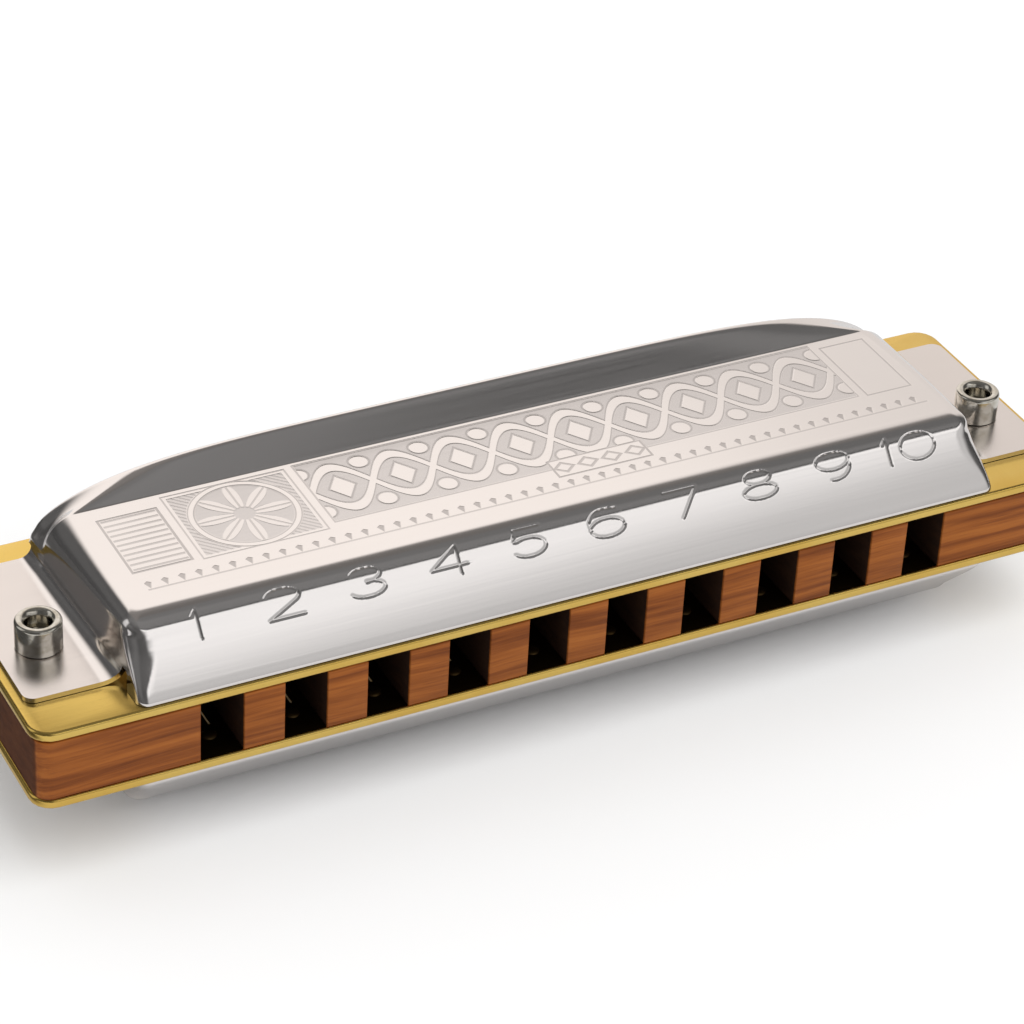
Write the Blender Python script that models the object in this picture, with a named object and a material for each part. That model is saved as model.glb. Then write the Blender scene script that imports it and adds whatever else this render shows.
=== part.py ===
# Ten-hole diatonic harmonica: a wooden comb between two brass reed plates, with twenty reeds,
# under two pressed steel covers held by two through screws and sleeve nuts.
# Metres, +Z up. +X runs from hole 1 to hole 10, and the mouth holes face -Y.
# The instrument lies level on the ridge of its lower cover, so z = 0 is that ridge's crest.
import math

import bmesh
import bpy

MM = 0.001

# Clearances
SEAT_GAP = 0.05 * MM  # between two faces that are clamped together
HOLE_CLEARANCE = 0.06 * MM  # radial, round a screw or rivet shank
PAD_GAP = 0.08 * MM  # above and below a reed's pad, so that the reed can rock
SLOT_CLEARANCE = 0.06 * MM  # beside a reed in its slot
SLOT_END_CLEARANCE = 0.2 * MM  # past a reed's tip

# Chambers
HOLE_COUNT = 10
HOLE_PITCH = 7.5 * MM
HOLE_SPAN = (HOLE_COUNT - 1) * HOLE_PITCH  # between the centres of the first and last holes
CHAMBER_WIDTH = 3.82 * MM
TIP_SETBACK = 3.2 * MM  # from the comb's front face to the tips of the blow reeds
PAD_TO_CHAMBER_END = 0.4 * MM

# Reed plates
PLATE_END = 16.25 * MM  # from the centre of the first or last hole to the plate's end
PLATE_LENGTH = HOLE_SPAN + 2 * PLATE_END
PLATE_WIDTH = 26.5 * MM
PLATE_THICKNESS = 0.93 * MM
PLATE_CORNER = 2.0 * MM

# Comb
COMB_END_SETBACK = 0.25 * MM  # from the plates' ends
COMB_SIDE_SETBACK = 0.1 * MM  # from the plates' long edges
COMB_LENGTH = PLATE_LENGTH - 2 * COMB_END_SETBACK
COMB_WIDTH = PLATE_WIDTH - 2 * COMB_SIDE_SETBACK
COMB_THICKNESS = 5.75 * MM
COMB_CORNER = 1.4 * MM

# Reeds
REED_LONGEST = 15.5 * MM
REED_SHORTEST = 8.0 * MM
REED_WIDEST = 2.2 * MM
REED_NARROWEST = 1.9 * MM
REED_TAPER = 0.12 * MM  # what a reed loses in width from root to tip
REED_THICKNESS = 0.22 * MM
PAD_LENGTH = 2.8 * MM
PAD_WIDTH = 2.9 * MM
DRAW_RIVET_SETBACK = 3.0 * MM  # from the comb's front face

# Rivets
RIVET_SHANK_RADIUS = 0.45 * MM
RIVET_HEAD_RADIUS = 0.8 * MM
RIVET_HEAD_HEIGHT = 0.32 * MM
RIVET_TAIL_RADIUS = 0.7 * MM
RIVET_TAIL_HEIGHT = 0.25 * MM
RIVET_SEGMENTS = 8

# Reed plate screws
PLATE_SCREW_SHANK_RADIUS = 0.7 * MM
PLATE_SCREW_BITE = 2.4 * MM  # length in the comb
PLATE_SCREW_HEAD_RADIUS = 1.1 * MM
PLATE_SCREW_HEAD_HEIGHT = 0.5 * MM
PLATE_SCREW_SLOT_WIDTH = 0.3 * MM
PLATE_SCREW_SLOT_DEPTH = 0.25 * MM
PLATE_SCREW_SEGMENTS = 12
FRONT_SCREW_SETBACK = 3.6 * MM  # from the comb's front face
REAR_SCREW_SETBACK = 5.6 * MM  # from the comb's rear face
FRONT_SCREW_TINES = (3, 7)  # a tine is the wall between hole n and hole n + 1
REAR_SCREW_TINES = (1, 5, 9)

# Covers
COVER_SHEET = 0.45 * MM
PANEL_RISE = 5.65 * MM  # flat panel above the reed plate's outer face
RIDGE_ABOVE_PANEL = 2.15 * MM  # crest of the rear ridge
LIP_SETBACK = 0.3 * MM  # from the reed plate's front edge
LIP_HEIGHT = 0.3 * MM  # upright edge below the front slope
FRONT_SLOPE = math.radians(50)
SHOULDER_RADIUS = 2.8 * MM
REAR_SETBACK = 2.85 * MM  # from the reed plate's rear edge
CREST_TO_REAR = 0.5 * MM
RISE_RUN = 2.6 * MM  # from the panel's rear edge to the crest
REAR_LIP_DROP = 0.55 * MM  # turned-down edge behind the crest
REAR_LIP_INSET = 0.4 * MM
WALL_PAST_HOLE_FRONT = 7.15 * MM  # from an end hole's centre to the wall's foot, at the lip
WALL_PAST_HOLE_REAR = 7.85 * MM
WALL_LEAN_FRONT = 0.9 * MM  # how far an end wall leans in by the panel's height
WALL_LEAN_REAR = 0.3 * MM
END_RADIUS_FRONT = 1.3 * MM  # end wall into panel
END_RADIUS_REAR = 3.4 * MM
RIDGE_PAST_WALL = 0.9 * MM  # where the ridge's arched outline would meet the flange
RIDGE_FULLNESS = 5.4  # exponent of that outline, higher is squarer
FLANGE_END_SETBACK = 0.9 * MM  # from the reed plate's end
FLANGE_FRONT_SETBACK = 3.55 * MM  # from the reed plate's front edge
FLANGE_CORNER = 0.6 * MM
FLANGE_PAST_WALL = 1.1 * MM  # from the wall's rear foot to where the flange lies flat
FLANGE_BEND = 1.1 * MM  # height of the bend between them
RELIEF = 0.7 * MM  # notch between the flange's front edge and the front skirt
ARC_STEPS = 4  # facets in a bent corner
PANEL_ROWS = (0.35, 0.7, 1.0)  # shares of the panel's depth
RISE_ROWS = ((0.35, 0.4), (0.75, 0.86), (1.0, 1.0))  # share of the run, share of the ridge's shape
RIDGE_END_SHARES = (0.992, 0.97, 0.935, 0.89, 0.835, 0.77)  # of the wall foot's distance
FLAT_TOP_SHARES = (0.75, 0.5, 0.25, 0.0)

# Cover screws and sleeve nuts
COVER_SCREW_PAST_HOLE = 11.75 * MM  # from an end hole's centre
COVER_SCREW_Y = -2.3 * MM
COVER_SCREW_RADIUS = 1.0 * MM
COVER_SCREW_TIP = 1.3 * MM  # above the upper flange
COVER_SCREW_HEAD_RADIUS = 1.95 * MM
COVER_SCREW_HEAD_HEIGHT = 1.3 * MM
COVER_SCREW_SLOT_WIDTH = 0.5 * MM
COVER_SCREW_SLOT_DEPTH = 0.6 * MM
NUT_RADIUS = 2.0 * MM
NUT_HEIGHT = 2.7 * MM
NUT_CHAMFER = 0.25 * MM
TURNED_SEGMENTS = 20

# Heights
PLATE_INNER_Z = COMB_THICKNESS / 2 + SEAT_GAP
PLATE_OUTER_Z = PLATE_INNER_Z + PLATE_THICKNESS
FLANGE_UNDER_Z = PLATE_OUTER_Z + SEAT_GAP
FLANGE_TOP_Z = FLANGE_UNDER_Z + COVER_SHEET
PANEL_Z = PLATE_OUTER_Z + PANEL_RISE
RIDGE_Z = PANEL_Z + RIDGE_ABOVE_PANEL
MIDDLE_Z = RIDGE_Z  # the comb's middle plane above the table

# Places in plan
COMB_FRONT_Y = -COMB_WIDTH / 2
COVER_FRONT_Y = -PLATE_WIDTH / 2 + LIP_SETBACK
COVER_REAR_Y = PLATE_WIDTH / 2 - REAR_SETBACK
RIDGE_CREST_Y = COVER_REAR_Y - CREST_TO_REAR
PANEL_REAR_Y = RIDGE_CREST_Y - RISE_RUN
FLANGE_FRONT_Y = -PLATE_WIDTH / 2 + FLANGE_FRONT_SETBACK
WALL_FOOT_FRONT = HOLE_SPAN / 2 + WALL_PAST_HOLE_FRONT
WALL_FOOT_REAR = HOLE_SPAN / 2 + WALL_PAST_HOLE_REAR
RIDGE_SPAN = WALL_FOOT_REAR + RIDGE_PAST_WALL
FLANGE_INNER_X = WALL_FOOT_REAR + FLANGE_PAST_WALL
COVER_SCREW_X = HOLE_SPAN / 2 + COVER_SCREW_PAST_HOLE


def clear_scene():
    for old in list(bpy.data.objects):
        bpy.data.objects.remove(old, do_unlink=True)


def make_material(name, color, roughness, metallic):
    material = bpy.data.materials.new(name)
    material.use_nodes = True
    shader = material.node_tree.nodes["Principled BSDF"]
    shader.inputs["Base Color"].default_value = (*color, 1.0)
    shader.inputs["Roughness"].default_value = roughness
    shader.inputs["Metallic"].default_value = metallic
    return material


def wood_material():
    return make_material("pearwood", (0.27, 0.09, 0.035), 0.5, 0.0)


def brass_material():
    return make_material("plate_brass", (0.80, 0.52, 0.16), 0.28, 1.0)


def reed_material():
    return make_material("reed_brass", (0.83, 0.60, 0.27), 0.22, 1.0)


def cover_material():
    return make_material("polished_steel", (0.74, 0.72, 0.71), 0.12, 1.0)


def fastener_material():
    return make_material("fastener_steel", (0.62, 0.60, 0.57), 0.22, 1.0)


def mesh_from(name, points, faces):
    mesh = bpy.data.meshes.new(name)
    mesh.from_pydata(points, [], faces)
    work = bmesh.new()
    work.from_mesh(mesh)
    bmesh.ops.recalc_face_normals(work, faces=work.faces)
    work.to_mesh(mesh)
    work.free()
    mesh.validate()
    return mesh


def place(name, mesh, material, location=(0, 0, 0), turn=(0, 0, 0), parent=None):
    piece = bpy.data.objects.new(name, mesh)
    bpy.context.scene.collection.objects.link(piece)
    if material is not None and not mesh.materials:
        mesh.materials.append(material)
    piece.location = location
    piece.rotation_euler = turn
    piece.parent = parent
    return piece


def smooth(mesh, degrees):
    mesh.shade_smooth()
    mesh.set_sharp_from_angle(angle=math.radians(degrees))


def prism(outline, low, high):
    # The points and faces of an upright prism over a flat outline
    count = len(outline)
    points = [(x, y, low) for x, y in outline] + [(x, y, high) for x, y in outline]
    faces = [tuple(range(count)), tuple(range(count, 2 * count))]
    faces += [(i, (i + 1) % count, count + (i + 1) % count, count + i) for i in range(count)]
    return points, faces


def ring(radius, segments, x=0.0, y=0.0):
    turns = [2 * math.pi * (i + 0.5) / segments for i in range(segments)]
    return [(x + radius * math.cos(a), y + radius * math.sin(a)) for a in turns]


def corner_arc(x, y, radius, start, steps):
    turns = [start + math.pi / 2 * i / steps for i in range(steps + 1)]
    return [(x + radius * math.cos(a), y + radius * math.sin(a)) for a in turns]


def rounded_rectangle(length, width, radius, steps=5):
    x = length / 2 - radius
    y = width / 2 - radius
    outline = corner_arc(x, y, radius, 0, steps)
    outline += corner_arc(-x, y, radius, math.pi / 2, steps)
    outline += corner_arc(-x, -y, radius, math.pi, steps)
    outline += corner_arc(x, -y, radius, 3 * math.pi / 2, steps)
    return outline


def turned(profile, segments):
    # A solid of revolution about Z. The profile's (radius, height) points run from axis to axis.
    points = [(0, 0, profile[0][1])]
    for radius, height in profile[1:-1]:
        points += [(x, y, height) for x, y in ring(radius, segments)]
    points.append((0, 0, profile[-1][1]))
    last = len(points) - 1
    rows = len(profile) - 2
    faces = []
    for i in range(segments):
        j = (i + 1) % segments
        faces.append((0, 1 + j, 1 + i))
        for row in range(rows - 1):
            a = 1 + row * segments
            b = a + segments
            faces.append((a + i, a + j, b + j, b + i))
        top = 1 + (rows - 1) * segments
        faces.append((last, top + i, top + j))
    return points, faces


def joined(solids):
    # Several separate solids as one list of points and one of faces
    points = []
    faces = []
    for some_points, some_faces in solids:
        start = len(points)
        points += some_points
        faces += [tuple(start + i for i in face) for face in some_faces]
    return points, faces


def cut(piece, solids):
    # Cuts closed shapes, given in the piece's own space, out of a piece
    cutter = place(piece.name + "_cutter", mesh_from(piece.name + "_cutter", *joined(solids)), None)
    cutter.location = piece.location
    cutter.rotation_euler = piece.rotation_euler
    cutter.parent = piece.parent
    cutter.hide_render = True
    cutter.display_type = "WIRE"
    boolean = piece.modifiers.new("cuts", "BOOLEAN")
    boolean.operation = "DIFFERENCE"
    boolean.solver = "EXACT"
    boolean.object = cutter


def hole_x(index):
    return (index - (HOLE_COUNT - 1) / 2) * HOLE_PITCH


def tine_x(tine):
    return (tine - HOLE_COUNT / 2) * HOLE_PITCH


def along_scale(index, longest, shortest):
    return longest + (shortest - longest) * index / (HOLE_COUNT - 1)


def reed_length(index):
    return along_scale(index, REED_LONGEST, REED_SHORTEST)


def reed_width(index):
    return along_scale(index, REED_WIDEST, REED_NARROWEST)


def chamber_end(index):
    return COMB_FRONT_Y + TIP_SETBACK + reed_length(index) + PAD_LENGTH + PAD_TO_CHAMBER_END


def blow_rivet_y(index):
    return chamber_end(index) - PAD_TO_CHAMBER_END - PAD_LENGTH / 2


def draw_rivet_y():
    return COMB_FRONT_Y + DRAW_RIVET_SETBACK


def plate_screw_places():
    front = COMB_FRONT_Y + FRONT_SCREW_SETBACK
    rear = COMB_WIDTH / 2 - REAR_SCREW_SETBACK
    places = [(tine_x(tine), front) for tine in FRONT_SCREW_TINES]
    places += [(tine_x(tine), rear) for tine in REAR_SCREW_TINES]
    return places


def cover_screw_places():
    return [(-COVER_SCREW_X, COVER_SCREW_Y), (COVER_SCREW_X, COVER_SCREW_Y)]


def through_hole(x, y, radius, segments, depth):
    return prism(ring(radius + HOLE_CLEARANCE, segments, x, y), -depth, depth)


def comb_outline():
    # Counter-clockwise: round the back, round the left end, then in and out of each chamber
    outer = rounded_rectangle(COMB_LENGTH, COMB_WIDTH, COMB_CORNER)
    back = [p for p in outer if p[1] > 0]
    left_front = [p for p in outer if p[1] < 0 and p[0] < 0]
    right_front = [p for p in outer if p[1] < 0 and p[0] > 0]
    outline = back + left_front
    for index in range(HOLE_COUNT):
        left = hole_x(index) - CHAMBER_WIDTH / 2
        right = hole_x(index) + CHAMBER_WIDTH / 2
        end = chamber_end(index)
        outline += [(left, COMB_FRONT_Y), (left, end), (right, end), (right, COMB_FRONT_Y)]
    return outline + right_front


def make_comb(parent):
    half = COMB_THICKNESS / 2
    mesh = mesh_from("comb", *prism(comb_outline(), -half, half))
    comb = place("comb", mesh, wood_material(), parent=parent)
    solids = []
    for x, y in plate_screw_places():
        solids.append(through_hole(x, y, PLATE_SCREW_SHANK_RADIUS, PLATE_SCREW_SEGMENTS, 2 * half))
    for x, y in cover_screw_places():
        solids.append(through_hole(x, y, COVER_SCREW_RADIUS, TURNED_SEGMENTS, 2 * half))
    cut(comb, solids)


def reed_slot(index, rivet_y, way):
    # way is +1 where the reed points to the rear and -1 where it points to the mouth
    half = reed_width(index) / 2 + SLOT_CLEARANCE
    root = rivet_y + way * PAD_LENGTH / 2
    tip = root + way * (reed_length(index) + SLOT_END_CLEARANCE)
    x = hole_x(index)
    low = min(root, tip)
    high = max(root, tip)
    outline = [(x - half, low), (x + half, low), (x + half, high), (x - half, high)]
    return prism(outline, -PLATE_THICKNESS, PLATE_THICKNESS)


def make_plate(name, height, rivet_rows, way, material, parent):
    half = PLATE_THICKNESS / 2
    outline = rounded_rectangle(PLATE_LENGTH, PLATE_WIDTH, PLATE_CORNER)
    mesh = mesh_from(name, *prism(outline, -half, half))
    plate = place(name, mesh, material, (0, 0, height), parent=parent)
    deep = PLATE_THICKNESS
    solids = []
    for index, rivet_y in enumerate(rivet_rows):
        solids.append(reed_slot(index, rivet_y, way))
        solids.append(through_hole(hole_x(index), rivet_y, RIVET_SHANK_RADIUS, RIVET_SEGMENTS, deep))
    for x, y in plate_screw_places():
        shank = PLATE_SCREW_SHANK_RADIUS
        solids.append(through_hole(x, y, shank, PLATE_SCREW_SEGMENTS, deep))
    for x, y in cover_screw_places():
        solids.append(through_hole(x, y, COVER_SCREW_RADIUS, TURNED_SEGMENTS, deep))
    cut(plate, solids)


def reed_outline(index):
    # The pad is centred on the rivet's axis and the tongue runs along +Y
    root = reed_width(index) / 2
    tip = root - REED_TAPER / 2
    pad = PAD_LENGTH / 2
    side = PAD_WIDTH / 2
    end = pad + reed_length(index)
    right = [(side, -pad), (side, pad), (root, pad), (tip, end)]
    return right + [(-x, y) for x, y in reversed(right)]


def make_reed(name, index, location, heading, material, parent):
    half = REED_THICKNESS / 2
    mesh = mesh_from(name, *prism(reed_outline(index), -half, half))
    reed = place(name, mesh, material, location, (0, 0, heading), parent)
    cut(reed, [through_hole(0, 0, RIVET_SHANK_RADIUS, RIVET_SEGMENTS, REED_THICKNESS)])


def make_rivet(name, location, material, parent):
    # The head bears on the reed's pad and the tail is set over the far side of the plate
    pad_under = -REED_THICKNESS / 2 - PAD_GAP
    plate_far = REED_THICKNESS / 2 + PAD_GAP + PLATE_THICKNESS + SEAT_GAP
    profile = [
        (0, pad_under - RIVET_HEAD_HEIGHT),
        (RIVET_HEAD_RADIUS * 0.6, pad_under - RIVET_HEAD_HEIGHT),
        (RIVET_HEAD_RADIUS, pad_under),
        (RIVET_SHANK_RADIUS, pad_under),
        (RIVET_SHANK_RADIUS, plate_far),
        (RIVET_TAIL_RADIUS, plate_far),
        (RIVET_TAIL_RADIUS * 0.6, plate_far + RIVET_TAIL_HEIGHT),
        (0, plate_far + RIVET_TAIL_HEIGHT),
    ]
    mesh = mesh_from(name, *turned(profile, RIVET_SEGMENTS))
    smooth(mesh, 50)
    place(name, mesh, material, location, parent=parent)


def make_reeds(family, rivet_rows, plate_under, heading, parent):
    brass = reed_material()
    rivet = make_material(family + "_rivet", (0.78, 0.55, 0.25), 0.3, 1.0)
    height = plate_under - PAD_GAP - REED_THICKNESS / 2
    for index, rivet_y in enumerate(rivet_rows):
        number = f"{index + 1:02d}"
        location = (hole_x(index), rivet_y, height)
        make_reed(f"{family}_reed_{number}", index, location, heading, brass, parent)
        make_rivet(f"{family}_rivet_{number}", location, rivet, parent)


def slotted_screw(name, profile, segments, slot, location, turn, material, parent):
    # The profile's head ends at z = 0 and the shank runs up from there. slot is (width, depth).
    mesh = mesh_from(name, *turned(profile, segments))
    smooth(mesh, 40)
    screw = place(name, mesh, material, location, turn, parent)
    reach = 2 * max(radius for radius, height in profile)
    head = min(height for radius, height in profile)
    slot_width, slot_depth = slot
    half = slot_width / 2
    outline = [(-reach, -half), (reach, -half), (reach, half), (-reach, half)]
    cut(screw, [prism(outline, head - slot_depth, head + slot_depth)])


def make_plate_screws(family, side, material, parent):
    # side is +1 on the upper plate and -1 on the lower one
    head = PLATE_SCREW_HEAD_RADIUS
    shank = PLATE_SCREW_SHANK_RADIUS
    length = PLATE_THICKNESS + 2 * SEAT_GAP + PLATE_SCREW_BITE
    profile = [
        (0, -PLATE_SCREW_HEAD_HEIGHT),
        (head * 0.8, -PLATE_SCREW_HEAD_HEIGHT),
        (head, -PLATE_SCREW_HEAD_HEIGHT / 2),
        (head, 0),
        (shank, 0),
        (shank, length - shank),
        (0, length),
    ]
    turn = (math.pi, 0, 0) if side > 0 else (0, 0, 0)
    for number, (x, y) in enumerate(plate_screw_places(), 1):
        location = (x, y, side * (PLATE_OUTER_Z + SEAT_GAP))
        slotted_screw(
            f"{family}_plate_screw_{number}", profile, PLATE_SCREW_SEGMENTS,
            (PLATE_SCREW_SLOT_WIDTH, PLATE_SCREW_SLOT_DEPTH), location, turn, material, parent,
        )


def make_cover_screws(material, parent):
    head = COVER_SCREW_HEAD_RADIUS
    high = COVER_SCREW_HEAD_HEIGHT
    shank = COVER_SCREW_RADIUS
    seat = FLANGE_TOP_Z + SEAT_GAP
    length = seat + FLANGE_TOP_Z + COVER_SCREW_TIP
    chamfer = shank / 4
    profile = [
        (0, -high),
        (head * 0.55, -high),
        (head * 0.85, -high * 0.8),
        (head, -high * 0.4),
        (head, 0),
        (shank, 0),
        (shank, length - chamfer),
        (shank - chamfer, length),
        (0, length),
    ]
    slot = (COVER_SCREW_SLOT_WIDTH, COVER_SCREW_SLOT_DEPTH)
    for side, (x, y) in zip(("left", "right"), cover_screw_places()):
        slotted_screw(
            f"cover_screw_{side}", profile, TURNED_SEGMENTS, slot,
            (x, y, -seat), (0, 0, 0), material, parent,
        )


def make_cover_nuts(material, parent):
    # A plain sleeve, chamfered at its top, that stands on the upper flange
    bore = COVER_SCREW_RADIUS + HOLE_CLEARANCE
    low = FLANGE_TOP_Z + SEAT_GAP
    high = low + NUT_HEIGHT
    outline = [
        (bore, low),
        (NUT_RADIUS, low),
        (NUT_RADIUS, high - NUT_CHAMFER),
        (NUT_RADIUS - NUT_CHAMFER, high),
        (bore + NUT_CHAMFER, high),
        (bore, high - NUT_CHAMFER),
    ]
    rows = len(outline)
    points = []
    for radius, height in outline:
        points += [(x, y, height) for x, y in ring(radius, TURNED_SEGMENTS)]
    faces = []
    for row in range(rows):
        a = row * TURNED_SEGMENTS
        b = (row + 1) % rows * TURNED_SEGMENTS
        for i in range(TURNED_SEGMENTS):
            j = (i + 1) % TURNED_SEGMENTS
            faces.append((a + i, a + j, b + j, b + i))
    for side, (x, y) in zip(("left", "right"), cover_screw_places()):
        mesh = mesh_from(f"cover_nut_{side}", points, faces)
        smooth(mesh, 30)
        place(f"cover_nut_{side}", mesh, material, (x, y, 0), parent=parent)


def panel_front_y():
    # Where the shoulder's arc runs out into the flat panel
    rise = PANEL_Z - FLANGE_UNDER_Z - LIP_HEIGHT
    tangent = SHOULDER_RADIUS * math.tan(FRONT_SLOPE / 2)
    return COVER_FRONT_Y + rise / math.tan(FRONT_SLOPE) + tangent


def front_rise(y):
    # Height of the outer face over the front slope and the shoulder, at one y
    foot = FLANGE_UNDER_Z + LIP_HEIGHT
    panel_y = panel_front_y()
    arc_y = panel_y - SHOULDER_RADIUS * math.sin(FRONT_SLOPE)
    if y < arc_y:
        return foot + (y - COVER_FRONT_Y) * math.tan(FRONT_SLOPE)
    if y < panel_y:
        return PANEL_Z - SHOULDER_RADIUS + math.sqrt(SHOULDER_RADIUS**2 - (panel_y - y) ** 2)
    return PANEL_Z


def shoulder_ys():
    # From the top of the front slope to the panel, at even turns of the shoulder's arc
    turns = [FRONT_SLOPE * (1 - i / ARC_STEPS) for i in range(ARC_STEPS + 1)]
    return [panel_front_y() - SHOULDER_RADIUS * math.sin(turn) for turn in turns]


def ridge_top(x):
    rise = RIDGE_Z - FLANGE_TOP_Z
    return FLANGE_TOP_Z + rise * math.sqrt(1 - (abs(x) / RIDGE_SPAN) ** RIDGE_FULLNESS)


def cover_rows():
    # Each row is (y, height of the flat top, share of the ridge's shape), from the lip to the crest
    shoulder = shoulder_ys()
    fixed = [COVER_FRONT_Y, FLANGE_FRONT_Y - RELIEF, FLANGE_FRONT_Y]
    near = 0.2 * MM
    front = fixed + [y for y in shoulder if min(abs(y - f) for f in fixed) > near]
    rows = [(y, front_rise(y), 0.0) for y in sorted(front)]
    panel_front = shoulder[-1]
    for share in PANEL_ROWS:
        rows.append((panel_front + (PANEL_REAR_Y - panel_front) * share, PANEL_Z, 0.0))
    for along, up in RISE_ROWS:
        rows.append((PANEL_REAR_Y + RISE_RUN * along, PANEL_Z, up))
    return rows


def wall_at(y):
    # The end wall's foot, its lean and the radius above it, at one y
    share = (y - COVER_FRONT_Y) / (COVER_REAR_Y - COVER_FRONT_Y)
    foot = WALL_FOOT_FRONT + (WALL_FOOT_REAR - WALL_FOOT_FRONT) * share
    lean = WALL_LEAN_FRONT + (WALL_LEAN_REAR - WALL_LEAN_FRONT) * share
    radius = END_RADIUS_FRONT + (END_RADIUS_REAR - END_RADIUS_FRONT) * share**2
    return foot, lean, radius


def edge_lift(y):
    # The wall's cut edge is square to its sheet, so its outer corner stands this much higher
    lean = wall_at(y)[1]
    return COVER_SHEET * math.sin(math.atan2(lean, PANEL_Z - FLANGE_UNDER_Z))


def end_section(y, top_z, foot_z):
    # (x, z) from the end wall's foot, up the wall and over its radius to the flat top
    plate_x, lean, radius = wall_at(y)
    angle = math.atan2(PANEL_Z - FLANGE_UNDER_Z, lean)
    foot_x = plate_x - (foot_z - FLANGE_UNDER_Z) / math.tan(angle)
    rise = top_z - foot_z
    radius = min(radius, 0.7 * rise / (1 - math.cos(angle)))
    arc_x = foot_x - rise / math.tan(angle) - radius * math.tan(angle / 2)
    arc_z = top_z - radius
    turns = [angle * (1 - i / ARC_STEPS) for i in range(ARC_STEPS + 1)]
    arc = [(arc_x + radius * math.sin(turn), arc_z + radius * math.cos(turn)) for turn in turns]
    middle = ((foot_x + arc[0][0]) / 2, (foot_z + arc[0][1]) / 2)
    return [(foot_x, foot_z), middle] + arc


def ridge_section(y, foot_z):
    # (x, z) along the arched end of the ridge, with as many points as an end section
    foot_x = wall_at(y)[0]
    arch = [(share * foot_x, ridge_top(share * foot_x)) for share in RIDGE_END_SHARES]
    return [(foot_x, foot_z)] + arch


def cover_half_row(y, top_z, ridge_share):
    # Points on the +X half, from the flange's outer edge to the middle
    on_flange = y > FLANGE_FRONT_Y - RELIEF / 2
    foot_z = FLANGE_TOP_Z + FLANGE_BEND if on_flange else FLANGE_UNDER_Z + edge_lift(y)
    section = end_section(y, top_z, foot_z)
    if ridge_share > 0:
        section = [
            tuple(p + (q - p) * ridge_share for p, q in zip(a, b))
            for a, b in zip(section, ridge_section(y, foot_z))
        ]
    outer_x = PLATE_LENGTH / 2 - FLANGE_END_SETBACK
    at_end = abs(y - FLANGE_FRONT_Y) < RELIEF / 2 or abs(y - RIDGE_CREST_Y) < RELIEF / 2
    corner = FLANGE_CORNER if at_end else 0
    bend = 1 - math.sqrt(0.5)
    bend_x = FLANGE_INNER_X - (FLANGE_INNER_X - section[0][0]) * (1 - bend)
    row = [(outer_x - corner, FLANGE_TOP_Z), (FLANGE_INNER_X, FLANGE_TOP_Z)]
    row.append((bend_x, FLANGE_TOP_Z + FLANGE_BEND * bend))
    row += section
    for share in FLAT_TOP_SHARES:
        x = section[-1][0] * share
        row.append((x, top_z + (ridge_top(x) - top_z) * ridge_share))
    return [(x, y, z) for x, z in row]


def rear_lip(row):
    # The crest's points again, turned down and in at the rear edge
    foot_z = FLANGE_TOP_Z + FLANGE_BEND
    lip = []
    for x, y, z in row:
        share = max(0.0, z - foot_z) / (RIDGE_Z - foot_z)
        inset = REAR_LIP_INSET * abs(x) / RIDGE_SPAN if z > foot_z else 0
        lip.append((x - inset, COVER_REAR_Y, z - REAR_LIP_DROP * share))
    return lip


def cover_mesh():
    # The outer face as a grid, rows from the lip to the rear edge, columns from end to end
    halves = [cover_half_row(*row) for row in cover_rows()]
    lip = [(x, y, FLANGE_UNDER_Z) for x, y, z in halves[0]]
    halves = [lip] + halves + [rear_lip(halves[-1])]
    flange_columns = 3
    points = []
    for half in halves:
        points += half[:-1] + [(-x, y, z) for x, y, z in reversed(half)]
    width = 2 * len(halves[0]) - 1
    faces = []
    for row in range(len(halves) - 1):
        near_y = halves[row][0][1]
        far_y = halves[row + 1][0][1]
        flanged = near_y > FLANGE_FRONT_Y - RELIEF / 2 and far_y < RIDGE_CREST_Y + RELIEF / 2
        skip = 0 if flanged else flange_columns
        for column in range(skip, width - 1 - skip):
            a = row * width + column
            faces.append((a, a + width, a + width + 1, a + 1))
    mesh = bpy.data.meshes.new("cover_shell")
    mesh.from_pydata(points, [], faces)
    work = bmesh.new()
    work.from_mesh(mesh)
    loose = [vert for vert in work.verts if not vert.link_faces]
    bmesh.ops.delete(work, geom=loose, context="VERTS")
    bmesh.ops.remove_doubles(work, verts=work.verts, dist=0.001 * MM)
    bmesh.ops.recalc_face_normals(work, faces=work.faces)
    if sum(face.normal.z * face.calc_area() for face in work.faces) < 0:
        bmesh.ops.reverse_faces(work, faces=work.faces)
    work.to_mesh(mesh)
    work.free()
    smooth(mesh, 35)
    return mesh


def make_cover(name, turn, mesh, material, parent):
    cover = place(name, mesh, material, turn=turn, parent=parent)
    shell = cover.modifiers.new("sheet", "SOLIDIFY")
    shell.thickness = COVER_SHEET
    shell.offset = -1
    shell.use_even_offset = True
    shell.use_rim = True
    low = FLANGE_UNDER_Z - COVER_SHEET
    high = FLANGE_TOP_Z + COVER_SHEET
    radius = COVER_SCREW_RADIUS + HOLE_CLEARANCE
    holes = [ring(radius, TURNED_SEGMENTS, x, y) for x, y in cover_screw_places()]
    cut(cover, [prism(hole, low, high) for hole in holes])


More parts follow.
